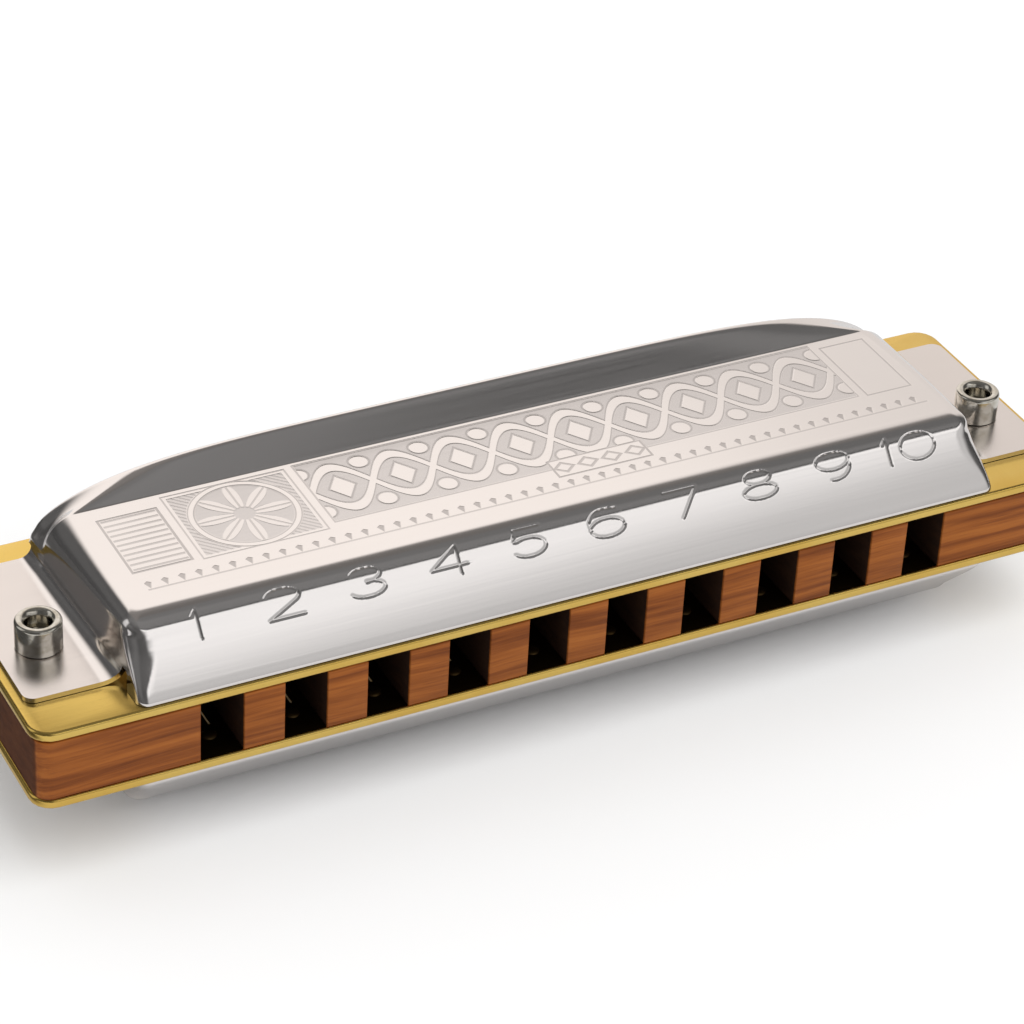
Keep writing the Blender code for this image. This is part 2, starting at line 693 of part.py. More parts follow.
def build():
    clear_scene()
    harmonica = bpy.data.objects.new("harmonica", None)
    harmonica.location = (0, 0, MIDDLE_Z)
    bpy.context.scene.collection.objects.link(harmonica)
    steel = fastener_material()
    brass = brass_material()
    make_comb(harmonica)
    blow = [blow_rivet_y(index) for index in range(HOLE_COUNT)]
    draw = [draw_rivet_y()] * HOLE_COUNT
    middle = PLATE_INNER_Z + PLATE_THICKNESS / 2
    make_plate("upper_reed_plate", middle, blow, -1, brass, harmonica)
    make_plate("lower_reed_plate", -middle, draw, 1, brass, harmonica)
    make_reeds("blow", blow, PLATE_INNER_Z, math.pi, harmonica)
    make_reeds("draw", draw, -PLATE_OUTER_Z, 0, harmonica)
    make_plate_screws("upper", 1, steel, harmonica)
    make_plate_screws("lower", -1, steel, harmonica)
    shell = cover_mesh()
    chrome = cover_material()
    make_cover("upper_cover", (0, 0, 0), shell, chrome, harmonica)
    make_cover("lower_cover", (0, math.pi, 0), shell, chrome, harmonica)
    make_cover_screws(steel, harmonica)
    make_cover_nuts(steel, harmonica)


build()
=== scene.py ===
import math
import bmesh
import bpy
from mathutils import Matrix, Vector


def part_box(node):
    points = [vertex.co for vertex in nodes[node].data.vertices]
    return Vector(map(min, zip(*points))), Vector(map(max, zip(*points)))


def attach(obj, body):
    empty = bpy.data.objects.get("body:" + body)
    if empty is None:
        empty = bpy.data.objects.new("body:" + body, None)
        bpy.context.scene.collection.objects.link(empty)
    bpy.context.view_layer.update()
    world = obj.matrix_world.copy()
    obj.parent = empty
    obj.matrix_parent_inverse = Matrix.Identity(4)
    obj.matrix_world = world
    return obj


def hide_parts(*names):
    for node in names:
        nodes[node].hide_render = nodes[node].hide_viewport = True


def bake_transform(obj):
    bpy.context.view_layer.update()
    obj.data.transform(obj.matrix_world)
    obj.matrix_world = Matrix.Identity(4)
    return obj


# looks of a ten-hole harmonica: pressed steel covers, brass reed plates and a pearwood comb
# measures are in millimetres, and heights run from the comb's middle plane
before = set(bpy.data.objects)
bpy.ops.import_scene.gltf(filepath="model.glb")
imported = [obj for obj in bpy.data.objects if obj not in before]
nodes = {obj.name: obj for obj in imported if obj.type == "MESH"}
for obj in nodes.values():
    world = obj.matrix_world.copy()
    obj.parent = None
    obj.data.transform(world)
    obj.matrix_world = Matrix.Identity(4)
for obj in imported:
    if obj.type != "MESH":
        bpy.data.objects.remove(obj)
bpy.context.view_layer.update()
mm = 0.001
holePitch = 7.5
holeCount = 10


def span(node):
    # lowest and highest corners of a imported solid
    low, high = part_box(node)
    return [v / mm for v in low], [v / mm for v in high]


combLow, combHigh = span("comb")
middleZ = (combLow[2] + combHigh[2]) / 2
coverLow, coverHigh = span("upper_cover")
plateTop = span("upper_reed_plate")[1][2] - middleZ


def holeX(index):
    return (index - (holeCount - 1) / 2) * holePitch


def smoothstep(low, high, v):
    t = min(1.0, max(0.0, (v - low) / (high - low)))
    return t * t * (3 - 2 * t)


def mix(a, b, t):
    return a + (b - a) * t


def spread(low, high, count):
    # count values after low, up to and with high
    return [mix(low, high, (i + 1) / count) for i in range(count)]


def inScene(name, data):
    made = bpy.data.objects.new(name, data)
    bpy.context.scene.collection.objects.link(made)
    return made


def quads(rows):
    # faces between rows of point numbers that are all as long
    return [(a[i], a[i + 1], b[i + 1], b[i]) for a, b in zip(rows, rows[1:]) for i in range(len(a) - 1)]


def meshOf(name, points, faces, sharp=None):
    # points in millimetres from the comb's middle plane
    mesh = bpy.data.meshes.new(name)
    mesh.from_pydata([(x * mm, y * mm, (z + middleZ) * mm) for x, y, z in points], [], faces)
    work = bmesh.new()
    work.from_mesh(mesh)
    bmesh.ops.remove_doubles(work, verts=work.verts, dist=0.001 * mm)
    bmesh.ops.recalc_face_normals(work, faces=work.faces)
    work.to_mesh(mesh)
    work.free()
    return shaded(mesh, sharp)


def shaded(mesh, sharp=None):
    # smooth, apart from edges sharper than this many degrees
    mesh.shade_smooth()
    if sharp is not None:
        mesh.set_sharp_from_angle(angle=math.radians(sharp))
    return mesh


def modify(piece, name, kind, **settings):
    made = piece.modifiers.new(name, kind)
    for key, value in settings.items():
        setattr(made, key, value)


def pieceOf(name, mesh, finish, body, nodes):
    piece = inScene(name, mesh)
    mesh.materials.clear()
    mesh.materials.append(finish)
    if body is not None:
        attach(piece, body)
    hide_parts(*nodes)
    return piece


def turnOver(x, y):
    # upside down about the comb's middle plane, with x and y kept (1) or mirrored (-1)
    return Matrix.Translation((0, 0, 2 * middleZ * mm)) @ Matrix.Diagonal((x, y, -1, 1))


def quarter(steps):
    # angles of a quarter turn, both ends included
    return [math.pi / 2 * i / steps for i in range(steps + 1)]


def turnedMesh(name, profile, centre, segments=48, sharp=32, thread=None):
    # a piece turned about an upright axis; profile is (radius, height) from axis to axis or closed on itself,
    # and thread is (lowest, highest, pitch, depth)
    x0, y0 = centre
    points = []
    rows = []
    for radius, height in profile:
        if radius < 1e-6:
            rows.append([len(points)])
            points.append((x0, y0, height))
            continue
        start = len(points)
        for i in range(segments):
            a = 2 * math.pi * i / segments
            cut = 0.0
            if thread and thread[0] < height < thread[1]:
                turnShare = (height / thread[2] - i / segments) % 1.0
                cut = thread[3] * (1 - abs(2 * turnShare - 1))
            points.append((x0 + (radius - cut) * math.cos(a), y0 + (radius - cut) * math.sin(a), height))
        rows.append(list(range(start, start + segments)))
    faces = []
    pairs = list(zip(rows, rows[1:]))
    if len(rows[0]) > 1:
        pairs.append((rows[-1], rows[0]))
    for a, b in pairs:
        for i in range(segments):
            j = (i + 1) % segments
            if len(a) == 1:
                faces.append((a[0], b[j], b[i]))
            elif len(b) == 1:
                faces.append((a[i], a[j], b[0]))
            else:
                faces.append((a[i], a[j], b[j], b[i]))
    return meshOf(name, points, faces, sharp)


def asMaths(operation, swapped=False):
    def apply(self, other):
        return self.shop.maths(operation, other, self) if swapped else self.shop.maths(operation, self, other)
    return apply


class Wire:
    # wraps a node's output so that shader maths can be written as an expression
    def __init__(self, shop, socket):
        self.shop = shop
        self.socket = socket

    __add__, __radd__ = asMaths("ADD"), asMaths("ADD", True)
    __sub__, __rsub__ = asMaths("SUBTRACT"), asMaths("SUBTRACT", True)
    __mul__, __rmul__ = asMaths("MULTIPLY"), asMaths("MULTIPLY", True)
    __truediv__, __pow__ = asMaths("DIVIDE"), asMaths("POWER")

    def __abs__(self):
        return self.shop.maths("ABSOLUTE", self)


class Shop:
    # the few ways nodes are made in one tree
    def __init__(self, tree):
        self.tree = tree

    def node(self, kind, settings=None, sockets=None, out=0):
        made = self.tree.nodes.new("ShaderNode" + kind)
        for key, value in (settings or {}).items():
            if key == "stops":
                ramp = made.color_ramp
                while len(ramp.elements) > 1:
                    ramp.elements.remove(ramp.elements[-1])
                for i, (at, shade) in enumerate(value):
                    stop = ramp.elements[0] if i == 0 else ramp.elements.new(at)
                    stop.position = at
                    stop.color = (*shade, 1.0) if isinstance(shade, tuple) else (shade, shade, shade, 1.0)
            else:
                setattr(made, key, value)
        for key, value in (sockets or {}).items():
            if isinstance(value, Wire):
                self.tree.links.new(value.socket, made.inputs[key])
            else:
                made.inputs[key].default_value = value
        if isinstance(out, tuple):
            return tuple(Wire(self, made.outputs[i]) for i in out)
        return Wire(self, made.outputs[out])

    def maths(self, operation, a, b=None):
        sockets = {0: a} if b is None else {0: a, 1: b}
        return self.node("Math", {"operation": operation}, sockets)

    def step(self, v, low, high):
        return self.node("MapRange", {"interpolation_type": "SMOOTHSTEP"},
                         {"Value": v, "From Min": low, "From Max": high, "To Min": 0.0, "To Max": 1.0})

    def band(self, v, low, high, soft):
        return self.step(v, low - soft, low + soft) * (1 - self.step(v, high - soft, high + soft))

    def least(self, first, *others):
        for other in others:
            first = self.maths("MINIMUM", first, other)
        return first

    def most(self, first, *others):
        for other in others:
            first = self.maths("MAXIMUM", first, other)
        return first

    def blendColor(self, factor, a, b):
        socketA = a if isinstance(a, Wire) else (*a, 1.0)
        socketB = b if isinstance(b, Wire) else (*b, 1.0)
        return self.node("Mix", {"data_type": "RGBA"}, {0: factor, 6: socketA, 7: socketB}, out=2)

    def parts(self, vector):
        return self.node("SeparateXYZ", sockets={0: vector}, out=(0, 1, 2))

    def ramp(self, v, stops):
        return self.node("ValToRGB", {"stops": stops}, {0: v})


class Finish(Shop):
    # one material round a principled shader
    def __init__(self, name, fixed):
        self.material = bpy.data.materials.new(name)
        self.material.use_nodes = True
        super().__init__(self.material.node_tree)
        self.shader = self.tree.nodes["Principled BSDF"]
        for socket, value in fixed.items():
            self.shader.inputs[socket].default_value = value

    def place(self):
        # millimetres in the part's own frame, height from the comb's middle plane
        where = self.node("TexCoord", out=3)
        self.where = where
        x, y, z = self.parts(where)
        return x * (1 / mm), y * (1 / mm), z * (1 / mm) - middleZ

    def noise(self, scale, detail=3, stretch=(1, 1, 1), rough=0.55):
        # scale is features per millimetre
        moved = self.node("Mapping", sockets={"Vector": self.where, "Scale": tuple(s / mm for s in stretch)})
        return self.node("TexNoise", {"noise_dimensions": "3D"},
                         {"Vector": moved, "Scale": scale, "Detail": detail, "Roughness": rough})

    def feed(self, **sockets):
        for key, value in sockets.items():
            self.tree.links.new(value.socket, self.shader.inputs[key.replace("_", " ")])

    def bump(self, height, depth, below=None):
        # depth in millimetres where height runs from 0 to 1, over the bump below
        sockets = {"Height": height, "Strength": 1.0, "Distance": depth * mm}
        normal = self.node("Bump", {}, sockets if below is None else {**sockets, "Normal": below})
        self.feed(Normal=normal)
        return normal


cover = {
    "sheet": 0.45, "edge": 0.06,  # thickness, and how far its cut edges are broken
    "lip": 0.3,  # upright edge under the front slope
    "slope": 50.0,
    "crown": 4.0,  # degrees that the slope's face curves over its height, each way
    "shoulder": 2.8,
    "panelZ": 9.505,
    "wallFront": 40.9, "wallRear": 41.6,
    "leanFront": 0.9, "leanRear": 0.3,
    "roundFront": 1.3, "roundRear": 3.4,
    "cornerRadius": 1.0, "cornerSwell": 1.1, "cornerPinch": 1.3,  # upright corner, fuller below the shoulder
    "swellFrom": 4.6, "swellTo": 7.4, "pinchFrom": 8.0,  # heights where it swells and is pinched again
    "join": 6.0,  # rings above this height run level, those below it crowd over the foot
    "cornerEnd": -5.0,  # where the end wall's close rings stop
    "straight": 36.6,  # half of the front slope between its two corners
    "panelRear": 7.2, "panelBow": 0.12,
    "riseSlope": 42.0,
    "crestBehind": 0.5,
    "ridgeHalf": 42.5, "ridgeFullness": 5.4,
    "flangeFront": -9.7, "flangeInner": 42.7, "flangeBend": 1.1, "flangeCorner": 1.0,
    "relief": 0.7,
    "screwX": 45.5, "screwY": -2.3, "screwHole": 1.06,
    "steel": ((0.90, 0.86, 0.84), (0.94, 0.90, 0.88)), "flangeTint": (0.86, 0.79, 0.75),
    # the last tint here is painted shade for the covers' inside faces
    "etchedTint": (0.795, 0.765, 0.755), "lineTint": (0.60, 0.57, 0.56), "insideShadeTint": (0.10, 0.09, 0.08),
    "polish": 0.10, "brushed": 0.0022,  # roughness, and the depth of the finest scratches
}
frontY, underZ, rearY, ridgeZ = coverLow[1], coverLow[2] - middleZ, coverHigh[1], coverHigh[2] - middleZ
flangeEnd = coverHigh[0]
flangeZ = underZ + cover["sheet"]
crestY = rearY - cover["crestBehind"]
panelZ = cover["panelZ"]


def frontProfile():
    # (y, z) levels from the lip to the panel, with the distance walked along them
    slope = math.radians(cover["slope"])
    radius = cover["shoulder"]
    rise = panelZ - underZ - cover["lip"]
    panelY = frontY + rise / math.tan(slope) + radius * math.tan(slope / 2)
    arcY = panelY - radius * math.sin(slope)
    arcZ = panelZ - radius * (1 - math.cos(slope))
    foot = underZ + cover["lip"]
    levels = [(frontY, underZ), (frontY, underZ + 0.1), (frontY + 0.01, foot - 0.06), (frontY + 0.05, foot + 0.02)]
    length = math.hypot(arcY - frontY, arcZ - foot)
    bow = math.radians(cover["crown"]) * length / 4
    for t in spread(0.02, 0.58, 9) + spread(0.58, 1.0, 28):
        out = bow * 4 * t * (1 - t) / 2  # a slight crown, proud of the straight slope
        levels.append((mix(frontY, arcY, t) - out * math.sin(slope), mix(foot, arcZ, t) + out * math.cos(slope)))
    for t in spread(0.0, 0.46, 12) + spread(0.46, 1.0, 9):
        a = slope * (1 - t)
        levels.append((panelY - radius * math.sin(a), panelZ - radius * (1 - math.cos(a))))
    return levels


def wallAt(y):
    share = (y - frontY) / (rearY - frontY)
    foot = mix(cover["wallFront"], cover["wallRear"], share)
    lean = mix(cover["leanFront"], cover["leanRear"], share)
    radius = mix(cover["roundFront"], cover["roundRear"], share * share)
    return foot, lean, radius


def wallX(y, z):
    # the end's outer face at one height, up its wall and over its rounded top edge
    foot, lean, radius = wallAt(y)
    angle = math.atan2(panelZ - underZ, lean)
    arcX = foot - (panelZ - underZ) / math.tan(angle) - radius * math.tan(angle / 2)
    arcZ = panelZ - radius * (1 - math.cos(angle))
    if z <= arcZ:
        return foot - (z - underZ) / math.tan(angle)
    low = panelZ - radius - z
    return arcX + math.sqrt(max(0.0, radius * radius - low * low))


def archZ(x):
    rise = ridgeZ - flangeZ
    return flangeZ + rise * math.sqrt(max(0.0, 1 - (abs(x) / cover["ridgeHalf"]) ** cover["ridgeFullness"]))


def riseShape():
    # how far up the ridge stands behind the panel, for 0 to 1 of the run
    steps = 60
    heights = [0.0]
    for i in range(steps):
        w = (i + 0.5) / steps
        turn = smoothstep(0, 0.07, w) * (1 - 0.85 * smoothstep(0.8, 1.0, w))
        heights.append(heights[-1] + math.tan(math.radians(cover["riseSlope"]) * turn))
    return [h / heights[-1] for h in heights]


rise = riseShape()


def riseAt(w):
    at = min(max(w, 0.0), 1.0) * (len(rise) - 1)
    i = min(int(at), len(rise) - 2)
    return mix(rise[i], rise[i + 1], at - i)


# stamped numbers: strokes in a box one unit wide and one unit high

numbers = {
    "depth": 0.07, "halfStroke": 0.14,
    "width": 3.3, "height": 2.5, "middle": 5.62,  # middle is the distance up the front face
    "shift": -0.65,  # from the hole's centre
    "tenOne": -2.45, "tenZero": 0.55, "zeroWidth": 3.5,  # the last number's two figures
}


def arcStroke(x, y, rx, ry, start, end, steps=18):
    turns = [math.radians(mix(start, end, i / steps)) for i in range(steps + 1)]
    return [(x + rx * math.cos(a), y + ry * math.sin(a)) for a in turns]


digitStrokes = {
    "1": [[(-0.14, 0.28), (0.0, 0.5), (0.0, -0.5)]],
    "2": [arcStroke(0, 0.2, 0.46, 0.3, 165, -35) + [(-0.46, -0.5), (0.5, -0.5)]],
    "3": [arcStroke(0, 0.24, 0.42, 0.26, 160, -90) + arcStroke(0, -0.24, 0.48, 0.26, 90, -160)],
    "4": [[(0.3, -0.5), (0.3, 0.5), (-0.5, -0.2), (0.52, -0.2)]],
    "5": [[(0.42, 0.5), (-0.32, 0.5), (-0.4, 0.08)] + arcStroke(0, -0.18, 0.48, 0.32, 130, -150)],
    "6": [[(0.36, 0.44)] + arcStroke(0.0, 0.0, 0.5, 0.5, 75, 200) + arcStroke(0, -0.18, 0.5, 0.32, 180, -180)],
    "7": [[(-0.48, 0.5), (0.48, 0.5), (-0.1, -0.5)]],
    "8": [arcStroke(0, 0.25, 0.38, 0.25, 0, 360), arcStroke(0, -0.25, 0.5, 0.25, 0, 360)],
    "9": [arcStroke(0, 0.18, 0.5, 0.32, 0, 360), arcStroke(0.0, 0.0, 0.5, 0.5, 20, -105)],
    "0": [arcStroke(0, 0, 0.5, 0.5, 0, 360, 28)],
}


def stampPlaces():
    # (character, centre along the cover, width)
    places = [(str(i + 1), holeX(i) + numbers["shift"], numbers["width"]) for i in range(holeCount - 1)]
    last = holeX(holeCount - 1)
    return places + [("1", last + numbers["tenOne"], numbers["width"]),
                     ("0", last + numbers["tenZero"], numbers["zeroWidth"])]


def stampSegments():
    # every stroke as short straight pieces on the flattened front face: (ax, ay, bx, by)
    pieces = []
    for character, centre, width in stampPlaces():
        for stroke in digitStrokes[character]:
            spots = [(centre + x * width, numbers["middle"] + y * numbers["height"]) for x, y in stroke]
            pieces += [(*a, *b) for a, b in zip(spots, spots[1:])]
    return pieces


def stampDepth(x, along, pieces):
    nearest = 9.0
    for ax, ay, bx, by in pieces:
        dx, dy = bx - ax, by - ay
        t = ((x - ax) * dx + (along - ay) * dy) / max(1e-9, dx * dx + dy * dy)
        t = min(1.0, max(0.0, t))
        nearest = min(nearest, math.hypot(x - ax - dx * t, along - ay - dy * t))
    return numbers["depth"] * (1 - smoothstep(0.0, numbers["halfStroke"], nearest))


def frontColumns():
    # positions along the cover, close together where a number is stamped
    wide, close = 0.9, 0.1
    edge = cover["straight"]
    stops = [-edge]
    for character, centre, width in stampPlaces():
        reach = (0.5 * width + 0.25) if character != "1" else 0.8
        low, high = centre - reach, centre + reach
        while stops[-1] + wide < low:
            stops.append(stops[-1] + wide)
        if low - stops[-1] > 2 * close:
            stops.append(low)
        while stops[-1] < high:
            stops.append(stops[-1] + close)
    while stops[-1] + wide < edge:
        stops.append(stops[-1] + wide)
    return stops + [edge]


def footAt(y):
    # where the end wall's lower edge runs: down on the plate at the front, up on the flange's bend behind
    low = cover["flangeFront"] - cover["relief"]
    return mix(underZ, flangeZ + cover["flangeBend"], smoothstep(low, cover["flangeFront"], y))


def walkOf(line):
    walked = [0.0]
    for a, b in zip(line, line[1:]):
        walked.append(walked[-1] + math.hypot(b[0] - a[0], b[1] - a[1]))
    return walked


def lineAt(line, walked, share):
    # the point a share of the way along a line of (x, z) points
    want = share * walked[-1]
    for i in range(len(line) - 1):
        if walked[i + 1] >= want - 1e-9:
            t = (want - walked[i]) / max(1e-9, walked[i + 1] - walked[i])
            return mix(line[i][0], line[i + 1][0], t), mix(line[i][1], line[i + 1][1], t)
    return line[-1]


def archLine():
    # (x, z) up the end wall behind the panel and over the ridge's end, eased where the two meet
    foot = wallAt(crestY)[0]
    raw = [(foot, flangeZ + cover["flangeBend"])]
    raw += [(foot * s, archZ(foot * s)) for s in [1.0] + spread(1.0, 0.77, 60)]
    walked = walkOf(raw)
    count, easing = 120, 16
    even = [lineAt(raw, walked, i / count) for i in range(count + 1)]
    line = []
    for i in range(count + 1):
        reach = min(i, count - i, easing)
        near = even[i - reach:i + reach + 1]
        line.append(tuple(sum(p[k] for p in near) / len(near) for k in (0, 1)))
    return line


def outwardOf(line, share):
    # unit normal of that line, as (outwards, up)
    i = min(max(int(round(share * (len(line) - 1))), 1), len(line) - 2)
    runX, runZ = line[i + 1][0] - line[i - 1][0], line[i + 1][1] - line[i - 1][1]
    size = math.hypot(runX, runZ)
    return runZ / size, -runX / size


def archNormal(x):
    # the same over the top of the ridge
    tilt = (archZ(abs(x) - 0.01) - archZ(abs(x) + 0.01)) / 0.02
    size = math.hypot(tilt, 1.0)
    return tilt / size, 1.0 / size


def sideHeight(y, z):
    join = cover["join"]
    return z if z >= join else mix(footAt(y), join, (z - underZ) / (join - underZ))


def coverMesh(name, columns, stamped):
    profile = frontProfile()
    along = walkOf(profile)
    arch = archLine()
    archWalk = walkOf(arch)
    panelRear, cornerEnd = cover["panelRear"], cover["cornerEnd"]
    rearHeights = [sideHeight(panelRear, z) for y, z in profile]
    rearWalk = walkOf([(wallX(panelRear, z), z) for z in rearHeights])
    notchShare = 1 - (cornerEnd - cover["flangeFront"]) / (cornerEnd - frontY - cover["cornerRadius"])
    notchShares = spread(0.0, notchShare * 0.65, 3) + spread(notchShare * 0.65, notchShare, 7)
    sideShares = notchShares + spread(notchShare, 1.0, 6)
    sideStops = spread(cornerEnd, panelRear, 9)
    riseStops = spread(0.0, 0.15, 4) + spread(0.15, 1.0, 12)
    rimTurns = quarter(6)[1:]
    rimDepth = cover["crestBehind"]
    frontSteps = cornerSteps = 8
    pieces = stampSegments() if stamped else []
    grid = []
    for k, (y, z) in enumerate(profile):
        radius = cover["cornerRadius"] + cover["cornerSwell"] * smoothstep(cover["swellFrom"], cover["swellTo"], z)
        radius -= cover["cornerPinch"] * smoothstep(cover["pinchFrom"], panelZ, z)
        sideY = y + radius
        cornerX = wallX(sideY, z) - radius
        tail = [(mix(columns[-1], cornerX, t), y, z) for t in spread(0.0, 1.0, frontSteps)]
        for a in quarter(cornerSteps)[1:-1]:
            tail.append((cornerX + radius * math.sin(a), sideY - radius * math.cos(a), z))
        for at in [sideY] + [mix(sideY, cornerEnd, t) for t in sideShares] + sideStops:
            height = sideHeight(at, z)
            tail.append((wallX(at, height), at, height))
        share = rearWalk[k] / rearWalk[-1]
        archX, archHigh = lineAt(arch, archWalk, share)
        for w in riseStops:
            at = mix(panelRear, crestY, w)
            height = sideHeight(at, z)
            up = riseAt(w)
            tail.append((mix(wallX(at, height), archX, up), at, mix(height, archHigh, up)))
        out, over = outwardOf(arch, share)
        fade = smoothstep(arch[0][1], arch[0][1] + 1.0, archHigh)
        for turn in rimTurns:
            inset = rimDepth * (1 - math.cos(turn)) * fade
            tail.append((archX - inset * out, crestY + rimDepth * math.sin(turn), archHigh - inset * over))
        left = [(-x, ty, tz) for x, ty, tz in reversed(tail)]
        middle = []
        normalY, normalZ = -math.sin(math.radians(45)), math.cos(math.radians(45))
        if 0 < k < len(profile) - 1:
            runY, runZ = profile[k + 1][0] - profile[k - 1][0], profile[k + 1][1] - profile[k - 1][1]
            size = math.hypot(runY, runZ)
            normalY, normalZ = -runZ / size, runY / size
        nearStamp = stamped and abs(along[k] - numbers["middle"]) < numbers["height"] / 2 + numbers["halfStroke"]
        for x in columns:
            sink = 0.0
            if nearStamp:
                close = [p for p in pieces if min(p[0], p[2]) - 0.3 < x < max(p[0], p[2]) + 0.3]
                sink = stampDepth(x, along[k], close) if close else 0.0
            middle.append((x, y - normalY * sink, z - normalZ * sink))
        grid.append(left + middle + tail)
    points = [p for row in grid for p in row]
    width = len(grid[0])
    faces = quads([range(k * width, (k + 1) * width) for k in range(len(grid))])
    tailLength = len(tail)
    riseStart = tailLength - len(riseStops) - len(rimTurns) - 1  # the tail's point at the panel's rear edge
    # ridge and rolled rear edge between the two ends of the top ring
    top = (len(grid) - 1) * width
    middleCount = len(columns)
    shares = [mix(-1, 1, i / 80) for i in range(81)]
    bowAt = [panelRear + cover["panelBow"] * (1 - c * c) for c in shares]
    rows = []
    archX = arch[-1][0]
    for row in range(len(riseStops) + len(rimTurns) + 1):
        tailAt = riseStart + row
        rightIndex = top + tailLength + middleCount + tailAt
        leftIndex = top + tailLength - 1 - tailAt
        edgeX = points[rightIndex][0]
        line = [leftIndex]
        for c, bowed in list(zip(shares, bowAt))[1:-1]:
            w = 0.0 if row == 0 else (riseStops[row - 1] if row <= len(riseStops) else 1.0)
            up = riseAt(w)
            x = c * (edgeX if row <= len(riseStops) else archX)
            y = mix(bowed, crestY, w)
            z = mix(panelZ, archZ(c * archX), up)
            if row > len(riseStops):
                turn = rimTurns[row - len(riseStops) - 1]
                inset = rimDepth * (1 - math.cos(turn))
                out, over = archNormal(x)
                x -= math.copysign(inset * out, x)
                y += rimDepth * math.sin(turn)
                z -= inset * over
            line.append(len(points))
            points.append((x, y, z))
        rows.append(line + [rightIndex])
    faces += quads(rows)
    # flat panel
    first = top + tailLength - 1 - riseStart
    last = top + tailLength + middleCount + riseStart
    faces.append(tuple(range(first, last + 1)) + tuple(reversed(rows[0][1:-1])))
    # flange at each end: the bend down from the wall, then flat
    flangeStart = frontSteps + cornerSteps + len(notchShares)
    flangeStop = riseStart + len(riseStops)
    bends = quarter(10)[1:]
    flats = []
    for side in (1, -1):
        loops = []
        for tailAt in range(flangeStart, flangeStop + 1):
            index = tailLength + middleCount + tailAt if side > 0 else tailLength - 1 - tailAt
            x, y, z = points[index]
            loop = [index]
            for turn in bends:
                loop.append(len(points))
                inner = side * cover["flangeInner"]
                points.append((inner - (inner - x) * math.cos(turn), y, z - (z - flangeZ) * math.sin(turn)))
            loops.append(loop)
        faces += quads(loops)
        r = cover["flangeCorner"]
        low, high = points[loops[0][-1]][1], points[loops[-1][-1]][1]
        outline = [loop[-1] for loop in loops]
        rim = [(flangeEnd - r + r * math.cos(a), high - r + r * math.sin(a)) for a in reversed(quarter(8))]
        rim += [(flangeEnd - r + r * math.cos(a), low + r - r * math.sin(a)) for a in quarter(8)]
        for x, y in rim:
            outline.append(len(points))
            points.append((side * x, y, flangeZ))
        hole = range(len(points), len(points) + 40)
        for x, y in arcStroke(side * cover["screwX"], cover["screwY"], cover["screwHole"], cover["screwHole"],
                              0, 360, len(hole))[:-1]:
            points.append((x, y, flangeZ))
        flats.append((outline, hole))
    return sheetOf(name, points, faces, flats)


def sheetOf(name, points, faces, flats):
    # the pressed face, with each flat flange filled round its screw hole
    work = bmesh.new()
    verts = [work.verts.new((x * mm, y * mm, (z + middleZ) * mm)) for x, y, z in points]
    for face in faces:
        if len(set(face)) == len(face):
            work.faces.new([verts[i] for i in face])
    for outline, hole in flats:
        edges = []
        for ring in (outline, hole):
            for i in range(len(ring)):
                pair = (verts[ring[i]], verts[ring[(i + 1) % len(ring)]])
                edges.append(work.edges.get(pair) or work.edges.new(pair))
        bmesh.ops.triangle_fill(work, use_beauty=True, edges=edges)
    bmesh.ops.remove_doubles(work, verts=work.verts, dist=0.002 * mm)
    bmesh.ops.recalc_face_normals(work, faces=work.faces)
    if sum(face.normal.z * face.calc_area() for face in work.faces) < 0:
        bmesh.ops.reverse_faces(work, faces=work.faces)
    mesh = bpy.data.meshes.new(name)
    work.to_mesh(mesh)
    work.free()
    return shaded(mesh)


def coverPiece(name, mesh, finish, node, turned):
    if turned:
        mesh.transform(turnOver(-1, 1))
    piece = pieceOf(name, mesh, finish, "root", [node])
    modify(piece, "sheet", "SOLIDIFY", thickness=cover["sheet"] * mm, offset=-1, use_even_offset=True, use_rim=True)
    modify(piece, "edges", "BEVEL", width=cover["edge"] * mm, segments=2, limit_method="ANGLE",
           angle_limit=math.radians(50), harden_normals=True)


ornament = {
    "etchDepth": 0.016, "lineDepth": 0.012,
    "ruled": (-37.4, -31.9, -2.7, 5.6), "rulePitch": 0.74,
    "square": (-31.2, -19.7, -3.0, 6.8), "rosette": (-25.4, 1.9), "rosetteRadius": 4.3, "petals": 8,
    "braided": (-19.0, 32.6, -2.3, 7.0), "braidPitch": 11.4, "braidSwing": 3.1,
    "label": (1.6, 10.9, -3.6, -0.9), "lozenges": 4,
    "plain": (33.3, 38.0, -2.5, 6.2),
    "hatchPitch": 0.62, "budRow": 3.0, "strand": 0.58, "leaf": 1.05, "bud": 0.85,
    "beadRow": -4.3, "beadPitch": 1.5, "beadFrom": -36.7, "borderRow": -5.25, "rows": (-37.0, 37.9),
}


